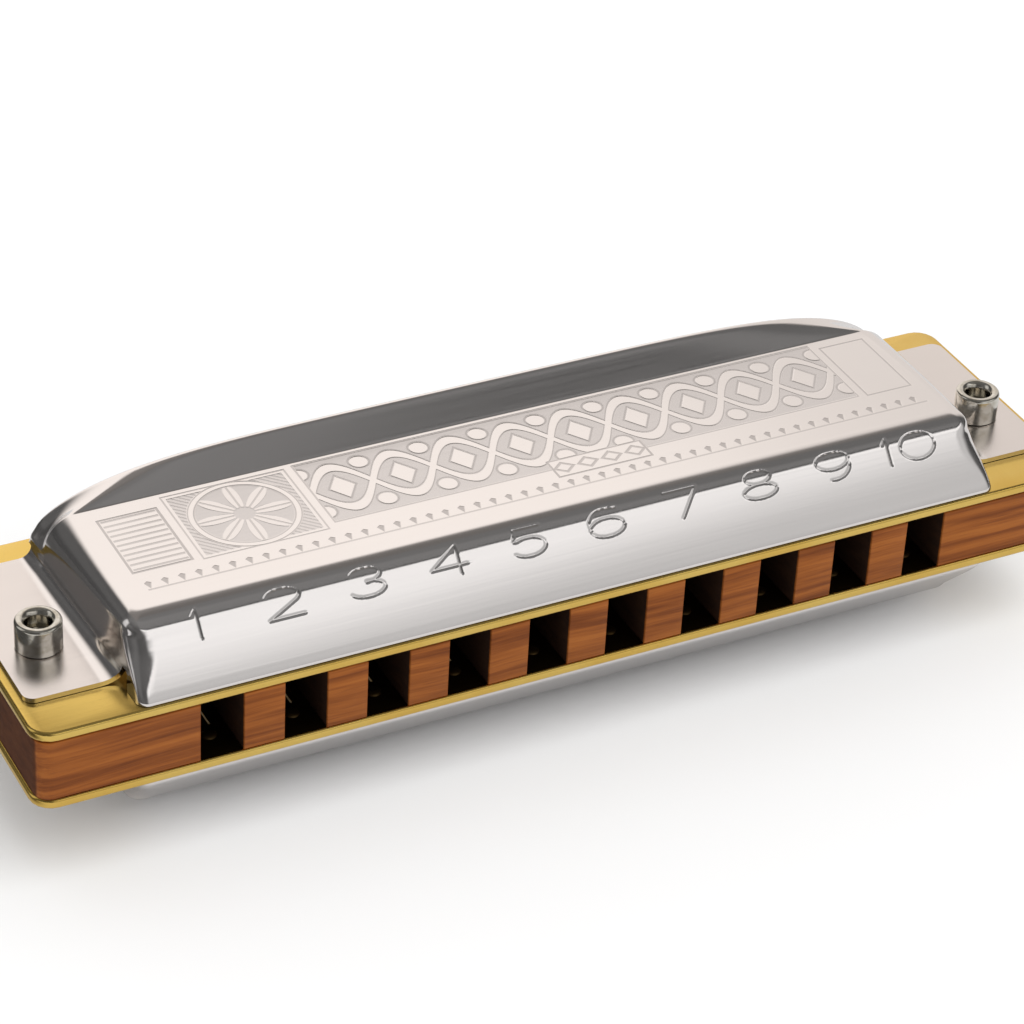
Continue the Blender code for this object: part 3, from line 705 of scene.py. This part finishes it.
def ornamentMasks(steel, x, y):
    # (etched ground, engraved lines) over one panel, each 0 to 1
    def inside(box, grow=0.0, soft=0.05):
        x0, x1, y0, y1 = box
        return steel.band(x, x0 - grow, x1 + grow, soft) * steel.band(y, y0 - grow, y1 + grow, soft)

    def border(box, width):
        return inside(box) - inside(box, -width)

    def split(v, pitch):
        # distance from the nearest of a row of marks
        return (steel.maths("FRACT", v * (1 / pitch) + 0.5) - 0.5) * pitch

    def dot(size, reach):
        return 1 - steel.step(size, reach - 0.08, reach + 0.08)

    o = ornament
    rules = inside(o["ruled"], -0.3) * dot(abs(split(y, o["rulePitch"])), 0.13)
    lines = steel.most(rules * 0.7, border(o["ruled"], 0.22) * 0.9)
    # rosette in its square
    rx, ry = x - o["rosette"][0], y - o["rosette"][1]
    around = steel.maths("ARCTAN2", ry, rx)
    out = (rx * rx + ry * ry) ** 0.5 * (1 / o["rosetteRadius"])
    swing = abs(steel.maths("COSINE", around * (o["petals"] / 2)))
    petals = steel.step(swing - out, -0.06, 0.04) * steel.step(out, 0.2, 0.24)
    disc = 1 - steel.step(out, 0.96, 1.0)
    corner = inside(o["square"], -0.45) * steel.step(out, 1.13, 1.16)
    hatch = dot(abs(split(rx + ry, o["hatchPitch"])), 0.12)
    etched = steel.most(disc * (1 - petals * 0.85), corner * 0.75)
    vein = petals * dot(abs(steel.maths("SINE", around * (o["petals"] / 2))) * out * 4, 0.32)
    lines = steel.most(lines, vein * 0.6, corner * hatch * 0.45, steel.band(out, 0.985, 1.01, 0.012) * 0.9,
                       steel.band(out, 1.11, 1.135, 0.012) * 0.8, border(o["square"], 0.14) * 0.7)
    # two strands that cross along the middle, with a leaf in every eye
    x0, x1, y0, y1 = o["braided"]
    centre = (y0 + y1) / 2
    across = y - centre
    run = (x - x0) * (2 * math.pi / o["braidPitch"])
    wave = steel.maths("SINE", run) * o["braidSwing"]
    strand = steel.least(abs(across - wave), abs(across + wave))
    eye = split(x - x0 - o["braidPitch"] / 4, o["braidPitch"] / 2)
    leaf = abs(eye) * 0.9 + abs(across) * 0.62
    between = split(x - x0, o["braidPitch"] / 2)
    bud = (between * between + (abs(across) - o["budRow"]) ** 2) ** 0.5
    raised = steel.most(dot(strand, o["strand"]), dot(leaf, o["leaf"]), dot(bud, o["bud"]))
    ground = inside(o["braided"], -0.2)
    etched = steel.most(etched, ground * (1 - raised))
    rimOf = steel.least(abs(strand - o["strand"] - 0.08), abs(leaf - o["leaf"] - 0.11), abs(bud - o["bud"] - 0.09))
    edges = dot(rimOf, 0.09) * (1 - dot(strand, 0.55)) * (1 - dot(leaf, 1.0))
    lines = steel.most(lines, ground * edges * 0.55, border(o["braided"], 0.16) * 0.7)
    # label with lozenges, in place of lettering
    lx0, lx1, ly0, ly1 = o["label"]
    label = inside(o["label"])
    lozenge = abs(split(x - lx0 - (lx1 - lx0) / 2 / o["lozenges"], (lx1 - lx0) / o["lozenges"])) * 0.8
    lozenge = lozenge + abs(y - (ly0 + ly1) / 2)
    etched = etched * (1 - label)
    inLabel = steel.most(border(o["label"], 0.2), dot(abs(lozenge - 0.72), 0.16) * 0.9)
    lines = lines * (1 - label) + inLabel * label * 0.9
    lines = steel.most(lines, border(o["plain"], 0.18) * 0.75)
    # beaded row and border along the front
    length = steel.band(x, *o["rows"], 0.05) * (1 - label)
    bead = abs(split(x - o["beadFrom"], o["beadPitch"])) + abs(y - o["beadRow"]) * 0.9 + (y - o["beadRow"]) * 0.5
    row = dot(abs(y - o["borderRow"]), 0.09) * 0.65
    return etched, steel.most(lines, length * dot(bead, 0.32), length * row)


def coverSteelFinish():
    steel = Finish("coverSteel", {"Metallic": 1.0})
    x, y, z = steel.place()
    side = steel.maths("SIGN", z)
    high = abs(z)
    etched, lines = ornamentMasks(steel, x * side, y)
    panel = steel.step(high, cover["panelZ"] - 0.05, cover["panelZ"] - 0.01)
    panel = panel * (1 - steel.step(high, cover["panelZ"] + 0.01, cover["panelZ"] + 0.05))
    etched = etched * panel
    lines = lines * panel
    flange = (1 - steel.step(high, flangeZ + 0.02, flangeZ + 0.1)) * steel.step(abs(x), 42.4, 42.9)
    facing = steel.parts(steel.node("NewGeometry", out=1))[2]
    within = steel.step(facing * side * -1.0, 0.2, 0.6)  # painted shade: the inside faces are darkened to near black, and left rougher
    streaks = steel.noise(0.8, 4, (0.05, 3.0, 3.0))
    grit = steel.noise(7.0)
    cloud = steel.noise(0.06, 2)
    tint = steel.blendColor(cloud, *cover["steel"])
    tint = steel.blendColor(flange * 0.6, tint, cover["flangeTint"])
    tint = steel.blendColor(etched * (0.75 + grit * 0.5), tint, cover["etchedTint"])
    tint = steel.blendColor(lines, tint, cover["lineTint"])
    # painted shade: the covers' inside faces are darkened to near black
    tint = steel.blendColor(within * 0.85, tint, cover["insideShadeTint"])
    rough = cover["polish"] + streaks * 0.07 + etched * 0.12 + lines * 0.1 + flange * 0.12 + within * 0.2
    steel.feed(Base_Color=tint, Roughness=rough)
    relief = steel.bump(1 - etched, ornament["etchDepth"])
    relief = steel.bump(1 - lines, ornament["lineDepth"], relief)
    steel.bump(streaks + grit * etched * 0.6, cover["brushed"], relief)
    return steel.material


print("covers")
steel = coverSteelFinish()
upper = coverMesh("upperCoverShell", frontColumns(), True)
lower = coverMesh("lowerCoverShell", [mix(-1, 1, i / 80) * cover["straight"] for i in range(81)], False)
coverPiece("coverShellUpper", upper, steel, "upper_cover", False)
coverPiece("coverShellLower", lower, steel, "lower_cover", True)


brass = {
    # the first colour is painted shade, near black brown, for brass faces towards the chambers
    "chamberShadeColor": (0.035, 0.018, 0.008), "along": (0.12, 4, 4), "across": (4, 0.15, 4),  # ways of the scratches
    "plate": {"color": (0.88, 0.62, 0.17), "darker": (0.82, 0.53, 0.12), "rough": 0.17, "scratch": "along",
              "depth": 3.82, "chamberShade": 0.94},  # depth is how far from the middle plane the painted shade of the chambers reaches
    "reed": {"color": (0.82, 0.60, 0.25), "darker": (0.74, 0.50, 0.18), "rough": 0.16, "scratch": "across",
             "depth": 4.04, "chamberShade": 0.85},
    "rivet": {"color": (0.70, 0.48, 0.19), "darker": (0.60, 0.38, 0.13), "rough": 0.24, "scratch": "along",
              "depth": 3.82, "chamberShade": 0.85},
    "plateEdge": 0.3, "combEdge": 0.12,  # how far the outlines are rounded
}


def brassFinish(kind):
    alloy = brass[kind]
    metal = Finish(kind + "Brass", {"Metallic": 1.0})
    x, y, z = metal.place()
    cloud = metal.noise(0.09, 4)
    streaks = metal.noise(1.1, 3, brass[alloy["scratch"]])
    speck = metal.noise(2.6, 5, rough=0.7)
    inside = 1 - metal.step(abs(z), alloy["depth"], alloy["depth"] + 0.02)  # painted shade: darkened towards the chambers
    inside = inside * (1 - metal.step(abs(x), 48, 48.5)) * (1 - metal.step(abs(y), 12.9, 13.0))
    tint = metal.blendColor(metal.step(cloud, 0.35, 0.7), alloy["color"], alloy["darker"])
    spots = tuple(c * 0.5 for c in alloy["darker"])
    tint = metal.blendColor(metal.step(speck, 0.62, 0.74) * 0.35, tint, spots)
    # painted shade: brass faces towards the chambers are darkened to near black brown
    tint = metal.blendColor(inside * alloy["chamberShade"], tint, brass["chamberShadeColor"])
    metal.feed(Base_Color=tint, Roughness=alloy["rough"] + streaks * 0.1 + inside * 0.25)
    metal.bump(streaks + speck * 0.3, 0.003)
    return metal.material


comb = {
    "grain": [(0.28, (0.105, 0.025, 0.0040)), (0.42, (0.190, 0.051, 0.0080)),
              (0.55, (0.275, 0.081, 0.0130)), (0.72, (0.360, 0.116, 0.0200))],
    # the chamber colour is painted shade for the chamber walls
    "pores": (0.115, 0.030, 0.010), "endGrainAndShade": (0.05, 0.018, 0.009), "chamber": (0.010, 0.005, 0.003),
    "endX": 49.55, "halfChamber": 1.93,
}


def woodFinish():
    wood = Finish("pearwood", {"IOR": 1.5, "Specular IOR Level": 0.16, "Coat Roughness": 0.3})
    x, y, z = wood.place()
    sway = wood.noise(0.035, 2)
    moved = z + sway * 3.0 + y * 0.12
    rings = wood.node("TexNoise", {"noise_dimensions": "3D"}, {
        "Vector": wood.node("CombineXYZ", sockets={0: x * 0.05, 1: y * 0.4, 2: moved * 1.3}),
        "Scale": 1.0, "Detail": 5.0, "Roughness": 0.6})
    fine = wood.noise(1.9, 5, (0.08, 1.0, 2.4), 0.65)
    base = wood.ramp(rings, comb["grain"])
    pores = wood.step(fine, 0.54, 0.70)
    color = wood.blendColor(pores * 0.5, base, comb["pores"])
    # the end faces: darker end grain, and darkened further as painted shade
    endGrainAndShade = wood.step(abs(x), comb["endX"], comb["endX"] + 0.15)
    color = wood.blendColor(endGrainAndShade * 0.85, color, comb["endGrainAndShade"])
    # painted shade on the chamber walls, from just behind the front face to short of the rear face
    hole = (wood.maths("FRACT", x * (1 / holePitch) + 0.5 + holeCount / 2 - 0.5) - 0.5) * holePitch
    chamber = 1 - wood.step(abs(hole), comb["halfChamber"], comb["halfChamber"] + 0.04)
    chamber = chamber * wood.step(y, combLow[1] + 0.06, combLow[1] + 0.3)
    chamber = chamber * (1 - wood.step(y, combHigh[1] - 0.6, combHigh[1] - 0.3))
    chamber = chamber * (1 - wood.step(abs(x), 36.5, 37.5))
    color = wood.blendColor(chamber * 0.95, color, comb["chamber"])  # painted shade: the chamber walls darkened to near black
    wood.feed(Base_Color=color, Roughness=0.38 + fine * 0.18 + chamber * 0.3 + endGrainAndShade * 0.35,
              Coat_Weight=0.05 * (1 - chamber) * (1 - endGrainAndShade))
    wood.bump(rings * 0.4 + fine * 0.6, 0.025)
    return wood.material


def softened(node, name, width, steps, picks):
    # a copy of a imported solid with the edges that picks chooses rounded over
    source = nodes[node].data
    work = bmesh.new()
    work.from_mesh(source)
    bmesh.ops.remove_doubles(work, verts=work.verts, dist=0.001 * mm)
    bmesh.ops.dissolve_limit(work, verts=work.verts, edges=work.edges, angle_limit=math.radians(0.5))
    chosen = [edge for edge in work.edges if len(edge.link_faces) == 2
              and edge.calc_face_angle() > math.radians(35) and picks(edge)]
    bmesh.ops.bevel(work, geom=chosen, offset=width * mm, segments=steps, profile=0.5, affect="EDGES",
                    clamp_overlap=False)
    mesh = bpy.data.meshes.new(name)
    work.to_mesh(mesh)
    work.free()
    return shaded(mesh, 24)


def onOutline(edge):
    # an edge of the face that runs round a plate or the comb, not one of a slot, chamber or hole
    for face in edge.link_faces:
        middle = face.calc_center_median() / mm
        if abs(face.normal.z) < 0.3 and (abs(middle.x) > 47.3 or abs(middle.y) > combHigh[1] - 0.4):
            return True
    return False


print("comb and plates")
pearwood = woodFinish()
plateBrass = brassFinish("plate")
block = softened("comb", "combWood", brass["combEdge"], 2, onOutline)
pieceOf("combWood", block, pearwood, "root", ["comb"])
for level in ("upper", "lower"):
    sheet = softened(level + "_reed_plate", level + "PlateBrass", brass["plateEdge"], 4,
                     lambda edge: onOutline(edge) and abs(edge.verts[0].co.z - edge.verts[1].co.z) < 0.1 * mm)
    pieceOf(level + "PlateBrass", sheet, plateBrass, "root", [level + "_reed_plate"])

reed = {
    "thick": 0.22, "belly": 0.13, "tip": 0.17,  # at the pad, where it is thinned most, and at its end
    "pad": 1.4, "padSide": 1.45, "padCorner": 0.35,
    "longest": 15.5, "shortest": 8.0, "widest": 2.2, "narrowest": 1.9, "taper": 0.12,
    "height": {"blow": 2.735, "draw": -4.045},
    "chamfer": 0.03,
    "bendLength": 3.5,
}


def reedMesh(name, index, rivetY, way, height):
    # stations along the reed from the pad's far end to the tip: (distance, half width, thickness)
    share = index / (holeCount - 1)
    length = mix(reed["longest"], reed["shortest"], share)
    root = mix(reed["widest"], reed["narrowest"], share) / 2
    pad, side, r = reed["pad"], reed["padSide"], reed["padCorner"]
    stations = [(-pad + r * (1 - math.cos(a)), side - r * (1 - math.sin(a)), reed["thick"])
                for a in quarter(4)]
    stations += [(pad - r * (1 - math.sin(a)), side - r * (1 - math.cos(a)), reed["thick"])
                 for a in quarter(4)]
    stations.append((pad + 0.02, root + 0.12, reed["thick"]))
    stations.append((pad + 0.2, root, reed["thick"]))
    for t in spread(0.02, 0.99, 26):
        thick = mix(reed["thick"], reed["belly"], smoothstep(0.03, 0.3, t))
        thick = mix(thick, reed["tip"], smoothstep(0.72, 0.92, t))
        stations.append((pad + t * length, root - reed["taper"] / 2 * t, thick))
    stations.append((pad + length, stations[-1][1] - 0.08, reed["tip"]))
    points = []
    faces = []
    c = reed["chamfer"]
    top = reed["thick"] / 2
    for along, half, thick in stations:
        low = top - thick
        right = [(half - c, top), (half, top - c), (half, low + c), (half - c, low)]
        ring = right + [(-px, pz) for px, pz in reversed(right)]
        points += [(holeX(index) + px * way, rivetY + along * way, height + pz) for px, pz in ring]
    for k in range(len(stations) - 1):
        for i in range(8):
            j = (i + 1) % 8
            faces.append((k * 8 + i, k * 8 + j, k * 8 + 8 + j, k * 8 + 8 + i))
    faces.append(tuple(range(8)))
    faces.append(tuple(range(len(points) - 8, len(points))))
    return meshOf(name, points, faces, 30)


rivet = {
    "head": 0.8, "headHigh": 0.32, "shank": 0.45, "tail": 0.7, "tailHigh": 0.25,
    "under": 0.19, "far": 1.17,  # from the reed's middle plane to the head and to the plate's far face
}


def rivetMesh(name, centre, height):
    def dome(radius, base, reach):
        # from the rim to the crown, with a flattened top
        return [(radius * math.cos(a) ** 0.8 if a < 1.57 else 0.0, base + reach * math.sin(a)) for a in quarter(6)]

    head = [(r, height + z) for r, z in reversed(dome(rivet["head"], -rivet["under"], -rivet["headHigh"]))]
    tail = [(r, height + z) for r, z in dome(rivet["tail"], rivet["far"], rivet["tailHigh"])]
    shank = [(rivet["shank"], height - rivet["under"]), (rivet["shank"], height + rivet["far"])]
    return turnedMesh(name, head + shank + tail, centre, 28, 40)


print("reeds and rivets")
reedBrass = brassFinish("reed")
rivetBrass = brassFinish("rivet")
for family, way in (("blow", -1), ("draw", 1)):
    height = reed["height"][family]
    for index in range(holeCount):
        number = f"{index + 1:02d}"
        low, high = span(f"{family}_rivet_{number}")
        rivetY = (low[1] + high[1]) / 2
        name = f"{family}Reed{number}"
        tongue = pieceOf(name, reedMesh(name, index, rivetY, way, height), reedBrass, None,
                         [f"{family}_reed_{number}"])
        rootY = rivetY + way * reed["pad"]
        level = (height + middleZ) * mm
        rootY * mm
        (rootY + way * reed["bendLength"]) * mm
        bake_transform(tongue)
        name = f"{family}Rivet{number}"
        pieceOf(name, rivetMesh(name, (holeX(index), rivetY), height), rivetBrass, "root",
                [f"{family}_rivet_{number}"])


fastener = {
    "head": 1.95, "headHigh": 1.3, "headRim": 0.35, "headSoft": 0.06, "slotWide": 0.5, "slotDeep": 0.6,
    "shank": 1.0, "tip": 1.3, "point": 0.2, "pitch": 0.45, "threadDeep": 0.14, "threadLength": 3.2,
    "sleeve": 2.0, "bore": 1.06, "sleeveHigh": 2.7, "flare": 0.42, "crownRound": 0.3,
    "plateHead": 1.1, "plateHeadHigh": 0.5, "plateHeadRim": 0.12, "plateHeadSoft": 0.03,
    "plateShank": 0.7, "plateLength": 3.43, "platePoint": 0.7, "plateSlotWide": 0.3, "plateSlotDeep": 0.25,
    "platePitch": 0.5, "plateThreadDeep": 0.12,
    "seat": 0.05,  # room left under a head or a sleeve
    "bright": (0.74, 0.71, 0.64), "worn": (0.56, 0.52, 0.44), "polish": 0.08, "turning": 0.005,
}


def slotted(mesh, centre, low, high, wide):
    # a screwdriver slot through the head, cut with a bar
    x, y = centre
    reach = 3.0
    round4 = ((-1, -1), (1, -1), (1, 1), (-1, 1))
    corners = [(x + a * reach, y + b * wide / 2, c) for c in (low, high) for a, b in round4]
    sides = [(i, (i + 1) % 4, (i + 1) % 4 + 4, i + 4) for i in range(4)]
    bar = meshOf("slotBar", corners, [(3, 2, 1, 0), (4, 5, 6, 7)] + sides)
    whole, cutter = inScene("whole", mesh), inScene("cutter", bar)
    modify(whole, "slot", "BOOLEAN", operation="DIFFERENCE", solver="EXACT", object=cutter)
    bpy.context.view_layer.update()
    cutMesh = bpy.data.meshes.new_from_object(whole.evaluated_get(bpy.context.evaluated_depsgraph_get()))
    cutMesh.name = mesh.name + "Slotted"
    for each in (whole, cutter):
        bpy.data.objects.remove(each, do_unlink=True)
    return shaded(cutMesh, 32)


def fastenerFinish():
    steel = Finish("fastenerSteel", {"Metallic": 1.0})
    steel.place()
    turning = steel.noise(1.4, 3, (0.25, 0.25, 7.0))
    wear = steel.noise(1.3, 4, rough=0.65)
    tint = steel.blendColor(steel.step(wear, 0.38, 0.68), fastener["bright"], fastener["worn"])
    steel.feed(Base_Color=tint, Roughness=fastener["polish"] + turning * 0.08 + wear * 0.08)
    steel.bump(turning * 0.7 + wear * 0.5, fastener["turning"])
    return steel.material


def coverScrewMesh(name, centre):
    f = fastener
    seat = -(flangeZ + f["seat"])
    tipZ = flangeZ + f["tip"]
    profile = [(0.0, seat - f["headHigh"])]
    rim, soft, point = f["headRim"], f["headSoft"], f["point"]
    profile += [(f["head"] * math.sin(a) ** 0.75, seat - rim - (f["headHigh"] - rim) * math.cos(a))
                for a in quarter(8)[1:]]
    profile += [(f["head"], seat - soft), (f["head"] - soft, seat), (f["shank"], seat)]
    threadLow = tipZ - point - f["threadLength"]
    profile.append((f["shank"], threadLow))
    steps = int(f["threadLength"] / (f["pitch"] / 8))
    profile += [(f["shank"], z) for z in spread(threadLow, tipZ - point, steps)]
    profile += [(f["shank"] - point, tipZ), (0.0, tipZ)]
    mesh = turnedMesh(name, profile, centre, 40, 32, (threadLow, tipZ - point + 0.01, f["pitch"], f["threadDeep"]))
    return slotted(mesh, centre, seat - f["headHigh"] - 1, seat - f["headHigh"] + f["slotDeep"], f["slotWide"])


def sleeveMesh(name, centre):
    f = fastener
    low = flangeZ + f["seat"]
    high = low + f["sleeveHigh"]
    rim = f["crownRound"]
    profile = [(f["bore"], low), (f["sleeve"] - 0.1, low), (f["sleeve"], low + 0.1), (f["sleeve"], high - rim)]
    profile += [(f["sleeve"] - rim * (1 - math.cos(a)), high - rim * (1 - math.sin(a)))
                for a in quarter(6)[1:]]
    profile += [(f["bore"] + f["flare"], high), (f["bore"] + f["flare"] * 0.7, high - 0.05)]
    profile += [(f["bore"], high - f["flare"])]
    inner = spread(high - f["flare"], low, 30)
    profile += [(f["bore"], z) for z in inner[:-1]]
    return turnedMesh(name, profile, centre, 56, 40)


def plateScrewMesh(name, centre, side):
    f = fastener
    seat = plateTop + f["seat"]
    tipZ = seat - f["plateLength"]
    rim, soft, point = f["plateHeadRim"], f["plateHeadSoft"], f["platePoint"]
    profile = [(0.0, seat + f["plateHeadHigh"])]
    profile += [(f["plateHead"] * math.sin(a) ** 0.7, seat + rim + (f["plateHeadHigh"] - rim) * math.cos(a))
                for a in quarter(6)[1:]]
    profile += [(f["plateHead"], seat + soft), (f["plateHead"] - soft, seat), (f["plateShank"], seat)]
    profile += [(f["plateShank"], z) for z in spread(seat - 0.1, tipZ + point, 36)]
    profile += [(0.3, tipZ + 0.25), (0.0, tipZ)]
    thread = (tipZ + point + 0.01, seat - 0.2, f["platePitch"], f["plateThreadDeep"])
    mesh = turnedMesh(name, profile, centre, 32, 32, thread)
    top = seat + f["plateHeadHigh"]
    mesh = slotted(mesh, centre, top - f["plateSlotDeep"], top + 1, f["plateSlotWide"])
    if side < 0:
        mesh.transform(turnOver(1, 1))
        mesh.flip_normals()
    return mesh


print("screws and sleeve nuts")
fastenerSteel = fastenerFinish()
for side, word in ((-1, "left"), (1, "right")):
    centre = (side * cover["screwX"], cover["screwY"])
    name = word + "CoverScrew"
    pieceOf(name, coverScrewMesh(name, centre), fastenerSteel, "root", ["cover_screw_" + word])
    name = word + "SleeveNut"
    pieceOf(name, sleeveMesh(name, centre), fastenerSteel, "root", ["cover_nut_" + word])
for level, side in (("upper", 1), ("lower", -1)):
    for number in range(1, 6):
        node = f"{level}_plate_screw_{number}"
        low, high = span(node)
        name = f"{level}PlateScrew{number}"
        pieceOf(name, plateScrewMesh(name, ((low[0] + high[0]) / 2, (low[1] + high[1]) / 2), side), fastenerSteel,
                "root", [node])


print("floor, light and camera")
studio = {
    "floorSize": 3.0, "floorTone": 0.88,
    "floorInMetal": 0.6, "darkPatchInMetal": 0.06,  # painted reflection: the floor as the metal mirrors it is painted darker, with a painted dark patch on the left
    "darkPatchX": (0.052, 0.07), "darkPatchY": (-0.03, -0.012),  # where that painted dark patch starts and is full, on the left
    "air": 0.9, "sun": 1.15, "sunAngle": 50, "backdrop": 1.0,  # even light all round, a broad one from above
    "lens": 128.37, "sensor": 36, "cameraAt": (-0.126849, -0.230917, 0.183757),
    "cameraRight": (0.89220, -0.44904, 0.04838), "cameraUp": (0.21792, 0.52184, 0.82474),
    "cameraBack": (-0.39559, -0.72529, 0.56344),
}
# what polished metal mirrors: brightness by degrees above the horizon, one list for each side
mirrored = {
    "around": [(0, 0.06), (10, 0.06), (18, 0.1), (29, 0.1), (38, 0.08), (70, 0.16), (90, 0.19)],
    "left": [(0, 0.06), (15, 0.09), (30, 0.14), (42, 0.14), (50, 0.1), (90, 0.19)],
    "side": [(0, 0.2), (10, 0.6), (45, 0.7), (55, 0.14), (90, 0.19)],
    "rear": [(0, 0.95), (30, 0.95), (44, 0.95), (52, 0.22), (60, 0.19), (90, 0.19)],
    "front": [(0, 0.42), (20, 0.52), (30, 0.57), (34, 0.5), (39, 0.97), (45, 1.07), (46.3, 0.01), (49, 0.015),
              (51, 0.18), (70, 0.2), (90, 0.2)],
    "warm": (1.06, 1.0, 0.955), "falloff": 0.25,  # the rear light's tint, and its loss towards the right
}
half = studio["floorSize"] / 2
floorMesh = bpy.data.meshes.new("floorSheet")
floorMesh.from_pydata([(-half, -half, 0), (half, -half, 0), (half, half, 0), (-half, half, 0)], [], [(0, 1, 2, 3)])
floor = inScene("floor", floorMesh)
paper = Finish("paper", {"Roughness": 0.9, "Specular IOR Level": 0.2})
# painted reflection: glossy rays see the floor darker, and near black in a patch on the left; other rays see the
# plain floor tone
seenByMetal = paper.node("LightPath", out=3)
floorX, floorY = paper.parts(paper.node("TexCoord", out=3))[:2]
darkPatch = paper.step(floorX * -1.0, *studio["darkPatchX"]) * paper.step(floorY, *studio["darkPatchY"])
inMetal = paper.blendColor(darkPatch, (studio["floorInMetal"],) * 3, (studio["darkPatchInMetal"],) * 3)
paper.feed(Base_Color=paper.blendColor(seenByMetal, (studio["floorTone"],) * 3, inMetal))
floorMesh.materials.append(paper.material)

camera = inScene("camera", bpy.data.cameras.new("camera"))
camera.data.lens = studio["lens"]
camera.data.sensor_width = studio["sensor"]
axes = Matrix([studio["cameraRight"], studio["cameraUp"], studio["cameraBack"]]).transposed()
place = Vector(studio["cameraAt"]) + Vector((0, 0, middleZ * mm))
camera.matrix_world = Matrix.Translation(place) @ axes.to_4x4()
bpy.context.scene.camera = camera

world = bpy.data.worlds.new("studio")
world.use_nodes = True
world.cycles.sampling_method = "NONE"
bpy.context.scene.world = world
air = Shop(world.node_tree)
dirX, dirY, dirZ = air.parts(air.node("TexCoord", out=0))
flat = air.most(1 - dirZ * dirZ, 0.0001) ** 0.5
height = air.maths("ARCSINE", dirZ) * (1 / math.radians(90))  # 0 at the horizon, 1 overhead
towardRear = air.step((dirX * 0.48 + dirY * 0.876) / flat, 0.68, 0.9)
towardFront = air.step((dirX * 0.5 - dirY * 0.866) / flat, 0.66, 0.9)
towardLeft = air.step((dirX * -1.0) / flat, 0.75, 0.95)
towardSide = air.step((dirX * -0.906 + dirY * 0.423) / flat, 0.935, 0.985)
rightOfRear = air.step(dirX * 0.876 - dirY * 0.48, 0.02, 0.14)


def light(side):
    return air.ramp(height, [(angle / 90, tone) for angle, tone in mirrored[side]])


seen = air.blendColor(towardLeft, light("around"), light("left"))
seen = air.blendColor(towardSide, seen, light("side"))
rear = light("rear") * (1 - mirrored["falloff"] * rightOfRear)
seen = air.blendColor(towardRear, seen, air.blendColor(rear, (0, 0, 0), mirrored["warm"]))
seen = air.blendColor(towardFront, seen, light("front"))
seen = air.blendColor(air.node("LightPath", out=3), (studio["air"],) * 3, seen)
seen = air.blendColor(air.node("LightPath", out=0), seen, (studio["backdrop"],) * 3)
world.node_tree.links.new(seen.socket, world.node_tree.nodes["Background"].inputs["Color"])
sun = inScene("key", bpy.data.lights.new("key", "SUN"))
sun.data.energy = studio["sun"]
sun.data.angle = math.radians(studio["sunAngle"])
sun.rotation_euler = (math.radians(25), math.radians(15), 0)
sun.visible_glossy = False
bpy.context.scene.view_settings.view_transform = "Standard"
